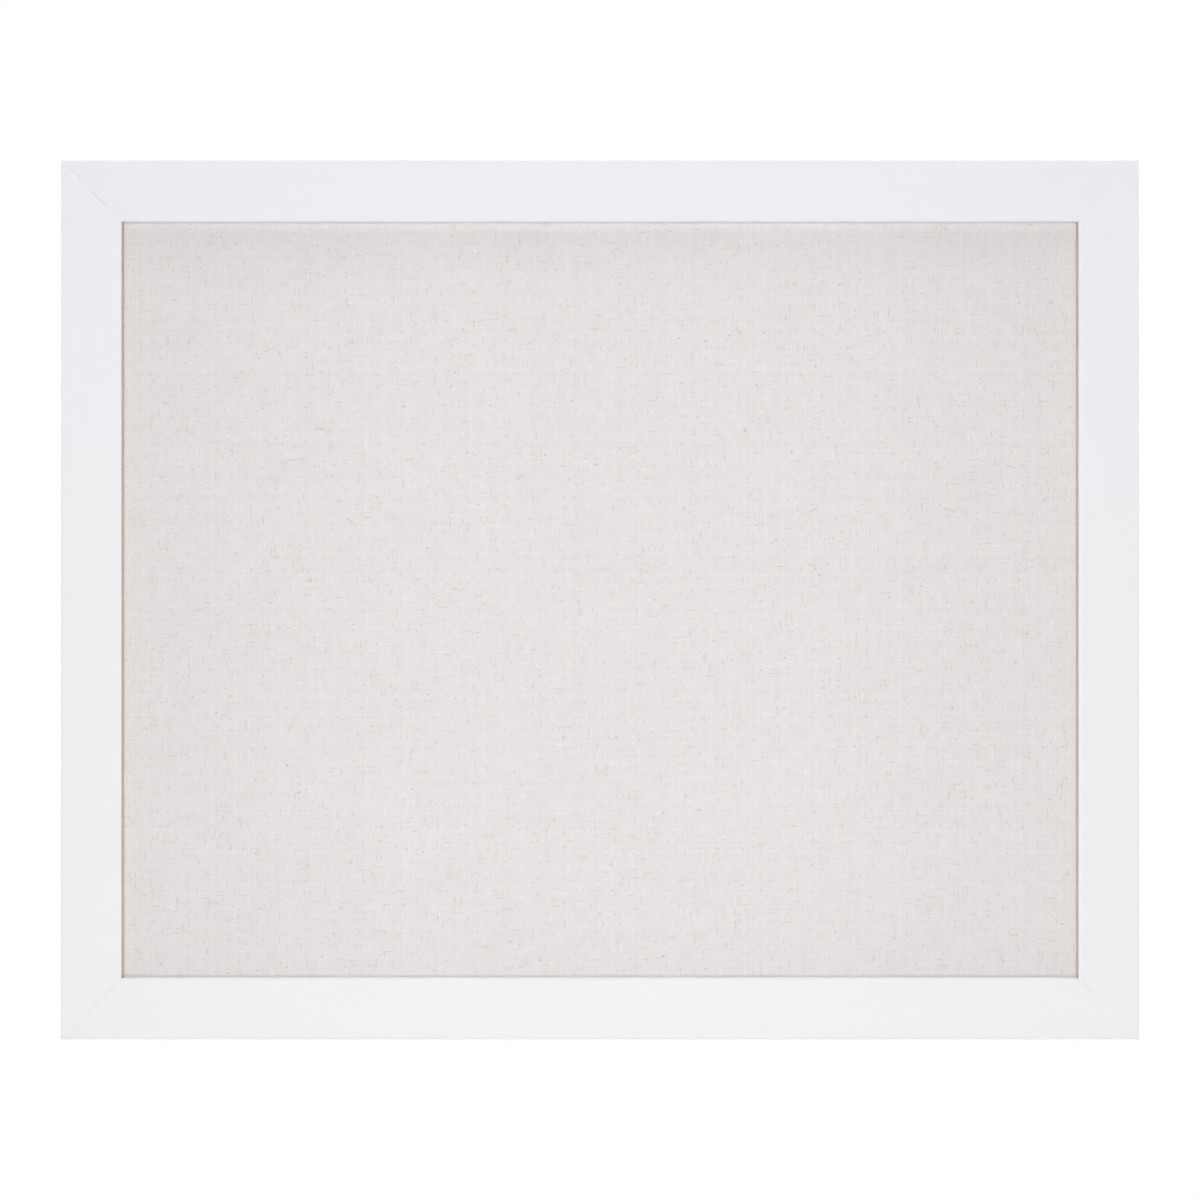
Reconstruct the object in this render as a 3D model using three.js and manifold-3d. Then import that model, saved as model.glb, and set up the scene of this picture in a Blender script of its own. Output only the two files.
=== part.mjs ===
// A framed linen pinboard, 27 by 22 inches, that hangs on a wall.
// Millimetres, +Z up. The wall's surface is the plane y = 0, and the board faces -Y.
// The origin is the middle of the board on the wall's surface.
import * as THREE from "three";
import { mergeVertices } from "three/addons/utils/BufferGeometryUtils.js";
import Module from "manifold-3d";

const wasm = await Module();
wasm.setup();

// The frame: four lengths of one moulding, mitred at their ends
const boardWidth = 685.8;
const boardHeight = 558.8;
const mouldingFace = 39;
const lipThickness = 7;
const rabbetWidth = 7;
const rabbetSpare = 1.8; // left empty between the framer's points and the frame's back
const outerRound = 1.2;
const sightRound = 0.9;
const backRound = 0.6;
const mitreGap = 0.2;

// The panel: linen over soft fibreboard, with hardboard behind
const panelClearance = 1;
const linenThickness = 0.6;
const hemWidth = 24;
const fieldInset = 0.5; // from the frame's sight edge to where the linen stands proud
const fieldProud = 0.4;
const coreThickness = 5;
const backingThickness = 2.5;

// The V-nails, driven into each mitre from the back; a share is of the width of the moulding's back
const nailApexShares = { outer: 0.375, inner: 0.78 };
const nailLeg = 6;
const nailThickness = 0.6;
const nailHeight = 10;
const nailSink = 0.2;

// The framer's points, pressed into the rabbet's wall behind the panel
const pointWidth = 5;
const pointShown = 9;
const pointBuried = 7;
const pointTaper = 4;
const pointThickness = 0.5;
const pointRoundShare = 0.3;
const railPointShares = [-0.36, -0.12, 0.12, 0.36];
const stilePointShares = [-0.3, 0, 0.3];

// The bumpers on the frame's back
const bumperRadius = 6;
const bumperEdge = 1.6; // how far the edge draws in
const bumperThickness = 3.4;
const bumperRimShare = 0.55;
const bumperInset = 45;

// The D-ring hangers: a folded strap, its ring and its screw
const strapWidth = 11;
const strapThickness = 0.6;
const strapTailFlat = 1;
const foldRun = 3.35; // from the barrel's edge to where the strap closes on itself
const ringWire = 0.9; // the wire's radius
const ringPlay = 0.15; // between the wire and the barrel's bore
const ringSideRoom = 3.8; // from the strap's edge to the ring's leg
const ringCorner = 2.2;
const ringLeg = 2.8;
const ringButtGap = 0.4;
const ringRest = 0.2; // between the hanging ring and its strap
const hangerRoom = 18.8; // between a bumper and a ring that is swung right over

// The hangers' screws
const screwShankRadius = 1.5;
const screwShankLength = 10;
const screwTipLength = 2;
const screwHeadLip = 1.7;
const screwHeadRim = 0.6;
const screwHeadDome = 1.2;
const screwHoleClearance = 0.4;
const screwRoom = 1.6; // between the screw's head and the hanging ring
const driveWidth = 0.8;
const driveSpan = 3.4;
const driveDepth = 1;

// Gaps between neighbours, and how far a cut runs past what it cuts
const seatGap = 0.1;
const layerGap = 0.2;
const pocketClearance = 0.3;
const overrun = 1;

// How finely round shapes are faceted
const filletSteps = 3;
const tailSteps = 6;
const barrelSteps = 15;
const wireSides = 8;
const wireSteps = 50;
const lathedSides = 20;

// Sizes that follow in the board's plane
const openingWidth = boardWidth - 2 * mouldingFace;
const openingHeight = boardHeight - 2 * mouldingFace;
const panelWidth = openingWidth + 2 * (rabbetWidth - panelClearance);
const panelHeight = openingHeight + 2 * (rabbetWidth - panelClearance);
const backWidth = mouldingFace - rabbetWidth;

// Heights off the wall, from the back of the board to its front
const frameBack = bumperThickness + seatGap;
const pointBack = frameBack + rabbetSpare;
const pointFront = pointBack + pointThickness;
const backingBack = pointFront + layerGap;
const backingFront = backingBack + backingThickness;
const hemBack = backingFront + layerGap;
const hemFront = hemBack + linenThickness;
const coreBack = hemFront + layerGap;
const coreFront = coreBack + coreThickness;
const linenBack = coreFront + layerGap;
const linenFront = linenBack + linenThickness;
const lipBack = linenFront + layerGap;
const frameFront = lipBack + lipThickness;

// Sizes that follow in the hangers; heights are off the frame's back
const barrelBore = ringWire + ringPlay;
const barrelOuter = barrelBore + strapThickness;
const barrelHeight = seatGap + barrelOuter;
const strapTop = seatGap + 2 * strapThickness;
const strapFold = barrelOuter + foldRun;
const ringHalfWidth = strapWidth / 2 + ringSideRoom;
const ringStraight = ringCorner + ringLeg;
const ringReach = ringStraight + ringHalfWidth;
const screwHeadRadius = screwShankRadius + screwHeadLip;
const screwSeat = strapTop + seatGap;
const screwHeadTop = screwSeat + screwHeadRim + screwHeadDome;
const screwReach = ringReach + ringWire + screwRoom + screwHeadRadius;
const hangerInset = bumperInset + bumperRadius + hangerRoom + ringReach + ringWire;

// The hanging ring leans off its strap just enough for its bow to cross the strap's edges.
const bowCrossing = ringStraight + Math.sqrt(ringHalfWidth ** 2 - (strapWidth / 2) ** 2);
const ringLean = Math.asin((strapTop + ringRest + ringWire - barrelHeight) / bowCrossing);

const material = (color, roughness, metalness = 0) => new THREE.MeshStandardMaterial({ color, roughness, metalness });
const paint = material("#f0f0f2", 0.5);
const linen = material("#e1dcdb", 0.95);
const fibreboard = material("#b7a78c", 0.9);
const hardboard = material("#6f5138", 0.7);
const zinc = material("#c3c5c8", 0.35, 0.9);
const steel = material("#9da0a3", 0.4, 0.9);
const rubber = material("#d4d6d4", 0.5);

// The closed solid that a geometry's triangles bound.
function solid(geometry) {
  const bare = geometry.clone();
  bare.deleteAttribute("normal");
  bare.deleteAttribute("uv");
  const merged = mergeVertices(bare);
  return new wasm.Manifold(
    new wasm.Mesh({
      numProp: 3,
      vertProperties: merged.getAttribute("position").array,
      triVerts: new Uint32Array(merged.index.array),
    }),
  );
}

// A named mesh of a geometry or of a solid that was cut or joined.
function piece(name, shape, finish) {
  let geometry = shape;
  if (!shape.isBufferGeometry) {
    const { vertProperties, triVerts } = shape.getMesh();
    geometry = new THREE.BufferGeometry()
      .setAttribute("position", new THREE.BufferAttribute(vertProperties, 3))
      .setIndex(new THREE.BufferAttribute(triVerts, 1));
    geometry.computeVertexNormals();
  }
  const mesh = new THREE.Mesh(geometry, finish);
  mesh.name = name;
  return mesh;
}

// Points on an arc about a centre, from one angle to another.
function arc(x, y, radius, from, to, steps) {
  return Array.from({ length: steps + 1 }, (_, k) => {
    const angle = from + ((to - from) * k) / steps;
    return new THREE.Vector2(x + radius * Math.cos(angle), y + radius * Math.sin(angle));
  });
}

// A closed outline through corners [x, y, radius], anticlockwise, each rounded by an arc of its radius.
function rounded(corners, steps = filletSteps) {
  const points = corners.flatMap(([x, y, radius], i) => {
    const corner = new THREE.Vector2(x, y);
    if (!radius) return [corner];
    const [before, after] = [i - 1, (i + 1) % corners.length].map((k) => {
      const [otherX, otherY] = corners.at(k);
      return new THREE.Vector2(otherX, otherY).sub(corner).normalize();
    });
    const half = Math.acos(before.dot(after)) / 2;
    const middle = before.clone().add(after).normalize();
    const centre = corner.clone().addScaledVector(middle, radius / Math.sin(half));
    const start = corner.clone().addScaledVector(before, radius / Math.tan(half));
    const from = start.sub(centre).angle();
    const sweep = Math.sign(after.cross(before)) * (Math.PI - 2 * half);
    return arc(centre.x, centre.y, radius, from, from + sweep, steps);
  });
  return new THREE.Shape(points);
}

// A shape in the xy plane, made a prism between two heights.
function prism(shape, from, to) {
  return new THREE.ExtrudeGeometry(shape, { depth: to - from, bevelEnabled: false }).translate(0, 0, from);
}

// A block centred on the board's middle, between two heights.
function slab(width, height, from, to) {
  return solid(new THREE.BoxGeometry(width, height, to - from).translate(0, 0, (from + to) / 2));
}

// A profile of [radius, height] turned about the z axis.
function turned(profile) {
  const points = profile.map(([radius, height]) => new THREE.Vector2(radius, height));
  return new THREE.LatheGeometry(points, lathedSides).rotateX(Math.PI / 2);
}

// One moulding, lying along x with its outer edge at y = reach and its ends mitred.
function moulding(length, reach) {
  const sight = reach - mouldingFace;
  const wall = sight + rabbetWidth;
  const profile = rounded([
    [wall, frameBack, backRound],
    [reach, frameBack, backRound],
    [reach, frameFront, outerRound],
    [sight, frameFront, sightRound],
    [sight, lipBack, 0],
    [wall, lipBack, 0],
  ]);
  const geometry = prism(profile, -length / 2, length / 2);
  const alongX = new THREE.Matrix4().makeBasis(
    new THREE.Vector3(0, 1, 0),
    new THREE.Vector3(0, 0, 1),
    new THREE.Vector3(1, 0, 0),
  );
  geometry.applyMatrix4(alongX);
  const place = geometry.getAttribute("position");
  for (let i = 0; i < place.count; i++) {
    const fromOuter = reach - place.getY(i);
    const end = length / 2 - fromOuter - mitreGap / Math.SQRT2;
    place.setX(i, Math.sign(place.getX(i)) * end);
  }
  return solid(geometry);
}

// A right-angled V between two heights, its legs open towards the corner at the origin.
function chevron(apex, leg, thickness, from, to) {
  const outline = [
    [-apex, -apex],
    [-apex + leg, -apex],
    [-apex + leg, -apex + thickness],
    [-apex + thickness, -apex + thickness],
    [-apex + thickness, -apex + leg],
    [-apex, -apex + leg],
  ];
  return prism(rounded(outline), from, to);
}

function vNail(apex) {
  const back = frameBack + nailSink;
  return chevron(apex, nailLeg, nailThickness, back, back + nailHeight);
}

function vNailPocket(apex) {
  const bottom = frameBack + nailSink + nailHeight + pocketClearance;
  const leg = nailLeg + 2 * pocketClearance;
  const thickness = nailThickness + 2 * pocketClearance;
  return chevron(apex + pocketClearance, leg, thickness, frameBack - overrun, bottom);
}

// A framer's point: a flat tab with a pointed blade, which enters the rabbet's wall at y = 0.
function framersPoint() {
  const half = pointWidth / 2;
  const round = pointRoundShare * pointWidth;
  const outline = rounded([
    [-half, -pointShown, round],
    [half, -pointShown, round],
    [half, pointBuried - pointTaper, 0],
    [0, pointBuried, 0],
    [-half, pointBuried - pointTaper, 0],
  ]);
  return prism(outline, pointBack, pointFront);
}

function pointPocket() {
  const width = pointWidth + 2 * pocketClearance;
  const depth = pointBuried + pocketClearance + overrun;
  const height = pointThickness + 2 * pocketClearance;
  const pocket = new THREE.BoxGeometry(width, depth, height);
  return pocket.translate(0, depth / 2 - overrun, (pointBack + pointFront) / 2);
}

function screwPocket() {
  const depth = screwShankLength - screwSeat + pocketClearance + overrun;
  const pocket = new THREE.CylinderGeometry(
    screwShankRadius + pocketClearance,
    screwShankRadius + pocketClearance,
    depth,
    lathedSides,
  );
  return pocket.rotateX(Math.PI / 2).translate(0, 0, frameBack - overrun + depth / 2);
}

// The strap of a D-ring hanger: one strip folded back on itself, with a barrel for the ring.
// Its x runs along the strap to the ring, its y along the hinge, and its z off the frame's back.
function hangerPlate() {
  const tail = -screwReach - strapWidth / 2;
  const rise = barrelHeight - strapTop;
  const lift = Math.atan2(rise, strapFold) + Math.asin(barrelOuter / Math.hypot(strapFold, rise)) + Math.PI / 2;
  const bottom = -Math.PI / 2;
  const side = new THREE.Shape([
    new THREE.Vector2(tail, seatGap),
    ...arc(0, barrelHeight, barrelOuter, bottom, lift, barrelSteps),
    new THREE.Vector2(-strapFold, strapTop),
    new THREE.Vector2(tail, strapTop),
  ]);
  const voidTip = (barrelBore * (1 + Math.sin(lift))) / Math.cos(lift);
  side.holes.push(
    new THREE.Path([
      new THREE.Vector2(voidTip, barrelHeight - barrelBore),
      ...arc(0, barrelHeight, barrelBore, bottom, lift, barrelSteps),
    ]),
  );
  const strip = prism(side, -strapWidth / 2, strapWidth / 2).rotateX(Math.PI / 2);
  const tailRound = (strapWidth - strapTailFlat) / 2;
  const corners = [
    [tail, -strapWidth / 2, tailRound],
    [barrelOuter + overrun, -strapWidth / 2, 0],
    [barrelOuter + overrun, strapWidth / 2, 0],
    [tail, strapWidth / 2, tailRound],
  ];
  const plan = rounded(corners, tailSteps);
  const hole = screwShankRadius + screwHoleClearance;
  plan.holes.push(new THREE.Path(arc(-screwReach, 0, hole, 0, 2 * Math.PI, lathedSides).slice(1)));
  const top = barrelHeight + barrelOuter + overrun;
  return solid(strip).intersect(solid(prism(plan, -overrun, top)));
}

// The centreline of a D-ring, in the xy plane: its bar along y through the origin, its bow towards -x.
class RingPath extends THREE.Curve {
  constructor() {
    super();
    const corner = ringHalfWidth - ringCorner;
    this.flat = new THREE.Path();
    this.flat.moveTo(ringButtGap / 2, 0);
    this.flat.lineTo(corner, 0);
    this.flat.absarc(corner, ringCorner, ringCorner, -Math.PI / 2, 0);
    this.flat.lineTo(ringHalfWidth, ringStraight);
    this.flat.absarc(0, ringStraight, ringHalfWidth, 0, Math.PI);
    this.flat.lineTo(-ringHalfWidth, ringCorner);
    this.flat.absarc(-corner, ringCorner, ringCorner, Math.PI, 1.5 * Math.PI);
    this.flat.lineTo(-ringButtGap / 2, 0);
  }

  getPoint(t, target = new THREE.Vector3()) {
    const { x, y } = this.flat.getPoint(t);
    return target.set(-y, x, 0);
  }
}

function hangerRing() {
  const section = new THREE.Shape(arc(0, 0, ringWire, 0, 2 * Math.PI, wireSides).slice(1));
  return new THREE.ExtrudeGeometry(section, { steps: wireSteps, extrudePath: new RingPath() });
}

// A pan-head screw along z, head up, with a cross recess.
function hangerScrew() {
  const tip = screwSeat - screwShankLength;
  const dome = arc(0, 0, 1, 0, Math.PI / 2, filletSteps).map(({ x, y }) => [
    screwHeadRadius * x,
    screwSeat + screwHeadRim + screwHeadDome * y,
  ]);
  const profile = [
    [0, tip],
    [screwShankRadius, tip + screwTipLength],
    [screwShankRadius, screwSeat],
    [screwHeadRadius, screwSeat],
    ...dome.slice(0, -1),
    [0, screwHeadTop],
  ];
  const slots = [
    [driveSpan, driveWidth],
    [driveWidth, driveSpan],
  ].map(([x, y]) => solid(new THREE.BoxGeometry(x, y, 2 * driveDepth).translate(0, 0, screwHeadTop)));
  return slots.reduce((screw, slot) => screw.subtract(slot), solid(turned(profile)));
}

// A soft bumper: a disc whose edge draws in towards the wall.
function bumper() {
  const rim = bumperRimShare * bumperThickness;
  return turned([
    [0, 0],
    ...arc(0, 0, 1, -Math.PI / 2, 0, filletSteps).map(({ x, y }) => [
      bumperRadius - bumperEdge * (1 - x),
      rim * (1 + y),
    ]),
    [bumperRadius, bumperThickness],
    [0, bumperThickness],
  ]);
}

// The linen: a shallow tray over the fibreboard's face and edges, with a hem round its back.
function linenCover() {
  const fieldWidth = openingWidth - 2 * fieldInset;
  const fieldHeight = openingHeight - 2 * fieldInset;
  const fieldFront = linenFront + fieldProud;
  const around = 2 * linenThickness;
  const hem = 2 * hemWidth;
  return slab(panelWidth, panelHeight, hemBack, linenFront)
    .add(slab(fieldWidth, fieldHeight, linenBack, fieldFront))
    .subtract(slab(panelWidth - around, panelHeight - around, hemFront, linenBack))
    .subtract(slab(fieldWidth - around, fieldHeight - around, hemFront, fieldFront - linenThickness))
    .subtract(slab(panelWidth - hem, panelHeight - hem, hemBack - overrun, coreFront));
}

// The soft fibreboard, which stands proud between the frame's lips as its linen does.
function pinCore() {
  const around = 2 * (linenThickness + layerGap);
  const field = 2 * fieldInset + around;
  return slab(panelWidth - around, panelHeight - around, coreBack, coreFront).add(
    slab(openingWidth - field, openingHeight - field, coreBack, coreFront + fieldProud),
  );
}

// The four sides, each in a group of its own whose x runs along the side and whose y points outwards.
// A hanger's strap runs along its side, and its ring is towards the top or the right end of the board.
const sides = [
  { place: "top", kind: "rail", turn: 0, nails: "top_right", ringEnd: 1 },
  { place: "left", kind: "stile", turn: Math.PI / 2, nails: "top_left", ringEnd: 1 },
  { place: "bottom", kind: "rail", turn: Math.PI, nails: "bottom_left", ringEnd: -1 },
  { place: "right", kind: "stile", turn: -Math.PI / 2, nails: "bottom_right", ringEnd: -1 },
];

function makeSide({ place, kind, turn, nails, ringEnd }) {
  const rail = kind === "rail";
  const length = rail ? boardWidth : boardHeight;
  const reach = (rail ? boardHeight : boardWidth) / 2;
  const wall = reach - mouldingFace + rabbetWidth;
  const side = new THREE.Group();
  side.rotation.z = turn;

  const cuts = [];
  const shares = rail ? railPointShares : stilePointShares;
  shares.forEach((share, i) => {
    const point = piece(`point_${place}_${i + 1}`, framersPoint(), steel);
    point.position.set(share * length, wall, 0);
    side.add(point);
    cuts.push(pointPocket().translate(share * length, wall, 0));
  });

  Object.entries(nailApexShares).forEach(([where, share]) => {
    const apex = share * backWidth;
    const nail = piece(`v_nail_${nails}_${where}`, vNail(apex), steel);
    nail.position.set(length / 2, reach, 0);
    side.add(nail);
    cuts.push(vNailPocket(apex).translate(length / 2, reach, 0));
    cuts.push(vNailPocket(apex).rotateZ(Math.PI / 2).translate(-length / 2, reach, 0));
  });

  const hanger = new THREE.Group();
  hanger.position.set(ringEnd * (length / 2 - hangerInset), reach - backWidth / 2, frameBack);
  hanger.rotation.set(ringEnd > 0 ? Math.PI : 0, ringEnd > 0 ? 0 : Math.PI, 0);
  const ring = piece(`hanger_ring_${place}`, hangerRing(), zinc);
  ring.position.z = barrelHeight;
  ring.rotation.y = ringLean;
  const screw = piece(`hanger_screw_${place}`, hangerScrew(), zinc);
  screw.position.x = -screwReach;
  hanger.add(piece(`hanger_plate_${place}`, hangerPlate(), zinc), ring, screw);
  side.add(hanger);
  cuts.push(screwPocket().translate(hanger.position.x - ringEnd * screwReach, hanger.position.y, 0));

  const wood = cuts.reduce((left, cut) => left.subtract(solid(cut)), moulding(length, reach));
  side.add(piece(`${kind}_${place}`, wood, paint));
  return side;
}

function makeBumpers() {
  const corners = { top_left: [-1, 1], top_right: [1, 1], bottom_left: [-1, -1], bottom_right: [1, -1] };
  return Object.entries(corners).map(([corner, [across, up]]) => {
    const foot = piece(`bumper_${corner}`, bumper(), rubber);
    foot.position.set(across * (boardWidth / 2 - bumperInset), up * (boardHeight / 2 - backWidth / 2), 0);
    return foot;
  });
}

// The board is laid out with x to the right, y up and z off the wall, and then stood up.
const pinboard = new THREE.Group();
pinboard.rotation.x = Math.PI / 2;
pinboard.add(
  ...sides.map(makeSide),
  ...makeBumpers(),
  piece("linen_cover", linenCover(), linen),
  piece("pin_core", pinCore(), fibreboard),
  piece("backing_board", slab(panelWidth, panelHeight, backingBack, backingFront), hardboard),
);

export default pinboard;
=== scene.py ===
import math

import bmesh
import bpy
import numpy as np
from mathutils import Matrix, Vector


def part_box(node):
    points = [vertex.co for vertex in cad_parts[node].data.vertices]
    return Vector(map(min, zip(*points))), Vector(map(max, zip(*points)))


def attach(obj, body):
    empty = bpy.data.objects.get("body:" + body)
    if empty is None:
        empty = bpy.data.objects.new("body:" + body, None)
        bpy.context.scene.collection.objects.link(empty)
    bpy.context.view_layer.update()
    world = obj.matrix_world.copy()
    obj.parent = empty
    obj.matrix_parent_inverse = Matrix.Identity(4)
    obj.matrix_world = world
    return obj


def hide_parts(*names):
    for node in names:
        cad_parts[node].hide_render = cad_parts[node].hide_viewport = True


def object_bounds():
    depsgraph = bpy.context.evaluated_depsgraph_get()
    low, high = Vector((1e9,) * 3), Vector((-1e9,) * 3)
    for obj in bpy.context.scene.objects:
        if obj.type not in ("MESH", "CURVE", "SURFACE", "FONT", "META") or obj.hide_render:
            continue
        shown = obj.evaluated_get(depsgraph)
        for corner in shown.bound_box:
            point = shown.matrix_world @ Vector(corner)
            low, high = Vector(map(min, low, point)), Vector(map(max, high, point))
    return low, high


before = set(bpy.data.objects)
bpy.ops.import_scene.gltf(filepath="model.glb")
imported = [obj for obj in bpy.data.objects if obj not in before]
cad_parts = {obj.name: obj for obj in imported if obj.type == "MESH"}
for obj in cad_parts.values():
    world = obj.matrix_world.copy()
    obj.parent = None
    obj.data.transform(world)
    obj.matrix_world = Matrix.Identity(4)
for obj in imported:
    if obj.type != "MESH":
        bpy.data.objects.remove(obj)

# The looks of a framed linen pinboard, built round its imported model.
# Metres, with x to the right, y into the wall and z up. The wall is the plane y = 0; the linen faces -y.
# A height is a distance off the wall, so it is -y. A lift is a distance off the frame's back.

CAD_LOW, CAD_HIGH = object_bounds()
MM = 0.001


def corners_of(node):
    """The lowest and highest corner of a CAD node, as arrays."""
    low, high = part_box(node)
    return np.array(low), np.array(high)


# The frame, from the model's boxes
RAIL_LOW, RAIL_HIGH = corners_of("rail_top")
HALF_WIDTH = CAD_HIGH[0]
HALF_HEIGHT = CAD_HIGH[2]
FACE = RAIL_HIGH[2] - RAIL_LOW[2]
FRONT = -RAIL_LOW[1]
BACK = -RAIL_HIGH[1]
SIGHT_X = HALF_WIDTH - FACE
SIGHT_Z = HALF_HEIGHT - FACE

# The panel in its rabbet
PANEL_LOW, PANEL_HIGH = corners_of("linen_cover")
CLOTH = 0.6 * MM
FIELD_PROUD = 0.4 * MM
LAYER_GAP = 0.2 * MM
PANEL_CLEARANCE = 1.0 * MM
FIELD_FRONT = -PANEL_LOW[1]
CLOTH_FRONT = FIELD_FRONT - FIELD_PROUD
HEM_BACK = -PANEL_HIGH[1]
LIP_BACK = CLOTH_FRONT + LAYER_GAP
RABBET = HALF_WIDTH - PANEL_HIGH[0] - PANEL_CLEARANCE

# The photograph's frame in pixels, and the camera: metres away, with a sensor in millimetres
PHOTO_SIDE_PX = 1200
BOARD_WIDTH_PX = 1079.4
VIEW_DISTANCE = 1.5
SENSOR = 36.0


# Meshes

def mesh_piece(name, vertices, faces, vertex_uv=None, face_uv=None, sharp_deg=35, closed=True):
    """A smooth-shaded object from arrays. Doubles are merged, and a closed shell's faces are turned
    outwards."""
    mesh = bpy.data.meshes.new(name)
    mesh.from_pydata(vertices.tolist(), [], [list(map(int, face)) for face in faces])
    if vertex_uv is not None or face_uv is not None:
        layer = mesh.uv_layers.new(name="Flat")
        if face_uv is None:
            loops = np.zeros(len(mesh.loops), np.int32)
            mesh.loops.foreach_get("vertex_index", loops)
            face_uv = vertex_uv[loops]
        layer.data.foreach_set("uv", np.asarray(face_uv, np.float32).ravel())
    shell = bmesh.new()
    shell.from_mesh(mesh)
    bmesh.ops.remove_doubles(shell, verts=shell.verts, dist=1e-7)
    if closed:
        bmesh.ops.recalc_face_normals(shell, faces=shell.faces)
    shell.to_mesh(mesh)
    shell.free()
    mesh.shade_smooth()
    mesh.set_sharp_from_angle(angle=math.radians(sharp_deg))
    piece = bpy.data.objects.new(name, mesh)
    bpy.context.scene.collection.objects.link(piece)
    return piece


def grid_faces(rows, columns, wrap=False, first=0):
    """The quads of a grid whose points are numbered row by row; wrap joins the last column to the
    first."""
    i, j = np.meshgrid(np.arange(rows - 1), np.arange(columns if wrap else columns - 1), indexing="ij")
    k = (j + 1) % columns
    quads = np.stack([i * columns + j, (i + 1) * columns + j, (i + 1) * columns + k, i * columns + k], -1)
    return first + quads.reshape(-1, 4)


def tube(name, points, caps=True, uv=None, **options):
    """A surface through rings of points, (rings, around, 3). caps closes the first and last ring with
    one face each. uv is (rings, around + 1, 2), in metres along and around the surface."""
    rings, around = points.shape[:2]
    faces = grid_faces(rings, around, wrap=True).tolist()
    face_uv = None
    if uv is not None:
        i, j = np.meshgrid(np.arange(rings - 1), np.arange(around), indexing="ij")
        corners = [uv[i, j], uv[i + 1, j], uv[i + 1, j + 1], uv[i, j + 1]]
        face_uv = np.stack(corners, 2).reshape(-1, 2)
    if caps:
        faces += [list(range(around)), list(range((rings - 1) * around, rings * around))]
        if uv is not None:
            face_uv = np.concatenate([face_uv, uv[0, :-1], uv[-1, :-1]])
    return mesh_piece(name, points.reshape(-1, 3), faces, face_uv=face_uv, **options)


def smooth_step(x):
    """Rises from 0 to 1 as x does, level at both ends: 3x^2 - 2x^3."""
    x = np.clip(x, 0, 1)
    return x * x * (3 - 2 * x)


def waves(x, y, length_x, length_y, seed, count=16):
    """Smooth random relief about zero and mostly within one: the mean of sine waves over the plane (x,
    y), with random phases and with random frequencies about 1 / length_x and 1 / length_y."""
    rng = np.random.default_rng(seed)
    total = 0
    for _ in range(count):
        along, across = rng.normal(size=2) / (length_x, length_y)
        total = total + np.sin(2 * math.pi * (along * x + across * y + rng.random()))
    return total * math.sqrt(2 / count) / 2


def arc(centre, radius, start, end, steps):
    """Points on a circle about centre from the angle start to end, in radians."""
    turn = np.linspace(start, end, steps + 1)
    return np.stack([centre[0] + radius * np.cos(turn), centre[1] + radius * np.sin(turn)], 1)


def eased_outline(corners, arc_steps=6):
    """A closed outline through corners (x, y, radius, step). Each corner is an arc of its radius,
    tangent to both sides, and the straight side after it is cut into equal steps no longer than its
    step."""
    places = np.array([corner[:2] for corner in corners], float)
    arcs = []
    for i, (_, _, radius, _) in enumerate(corners):
        here = places[i]
        back = places[i - 1] - here
        ahead = places[(i + 1) % len(corners)] - here
        back /= np.hypot(*back)
        ahead /= np.hypot(*ahead)
        half = math.acos(np.clip(back @ ahead, -1, 1)) / 2
        middle = (back + ahead) / np.hypot(*(back + ahead))
        centre = here + middle * radius / math.sin(half)
        start = here + back * radius / math.tan(half) - centre
        end = here + ahead * radius / math.tan(half) - centre
        bend = math.pi - 2 * half
        turn = np.linspace(0, 1, arc_steps + 1)[:, None]
        swept = np.sin((1 - turn) * bend) * start + np.sin(turn * bend) * end
        arcs.append(centre + swept / math.sin(bend))
    outline = []
    for i, (_, _, _, step) in enumerate(corners):
        outline.append(arcs[i])
        start, end = arcs[i][-1], arcs[(i + 1) % len(corners)][0]
        count = max(1, math.ceil(np.hypot(*(end - start)) / step))
        outline.append(start + (end - start) * np.linspace(0, 1, count + 1)[1:-1, None])
    return np.concatenate(outline)


def girth_of(outline):
    """The distance round a closed outline at each point, and the whole way round as one more value."""
    sides = np.hypot(*(np.roll(outline, -1, 0) - outline).T)
    return np.concatenate([[0], np.cumsum(sides)])


# The frame's mouldings

OUTER_ROUND = 1.2 * MM
SIGHT_ROUND = 0.9 * MM
BACK_ROUND = 0.6 * MM
LIP_ROUND = 0.3 * MM
MITRE_GAP = 0.01 * MM
MITRE_EASE = 0.03 * MM
STATION_STEP = 4 * MM
END_ZONE = 6 * MM
SURFACE_WAVE = 0.025 * MM
WAVE_LENGTHS = (60 * MM, 14 * MM)
ARRIS_WEAR = 0.06 * MM
WEAR_LENGTH = 50 * MM
WEAR_SPREAD = 1.2 * MM
NICKS_PER_ARRIS = 5
NICK_SIZES_MM = (0.5, 1.3)
NICK_DEPTH = 0.18 * MM
SIDES = {"top": (0, 1), "right": (1, 0), "bottom": (0, -1), "left": (-1, 0)}


def moulding_section():
    """The moulding's eased outline as (depth in from the outer side, height), and its girth at each
    point. It starts at the back's outer edge and runs up the outer side, over the face, down the sight
    edge and under the lip."""
    section = eased_outline([
        (0, BACK, BACK_ROUND, 1.2 * MM),
        (0, FRONT, OUTER_ROUND, 0.9 * MM),
        (FACE, FRONT, SIGHT_ROUND, 1.0 * MM),
        (FACE, LIP_BACK, LIP_ROUND, 2.5 * MM),
        (RABBET, LIP_BACK, LIP_ROUND, 3.0 * MM),
        (RABBET, BACK, BACK_ROUND, 1.0 * MM),
    ])
    return section, girth_of(section)


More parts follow.
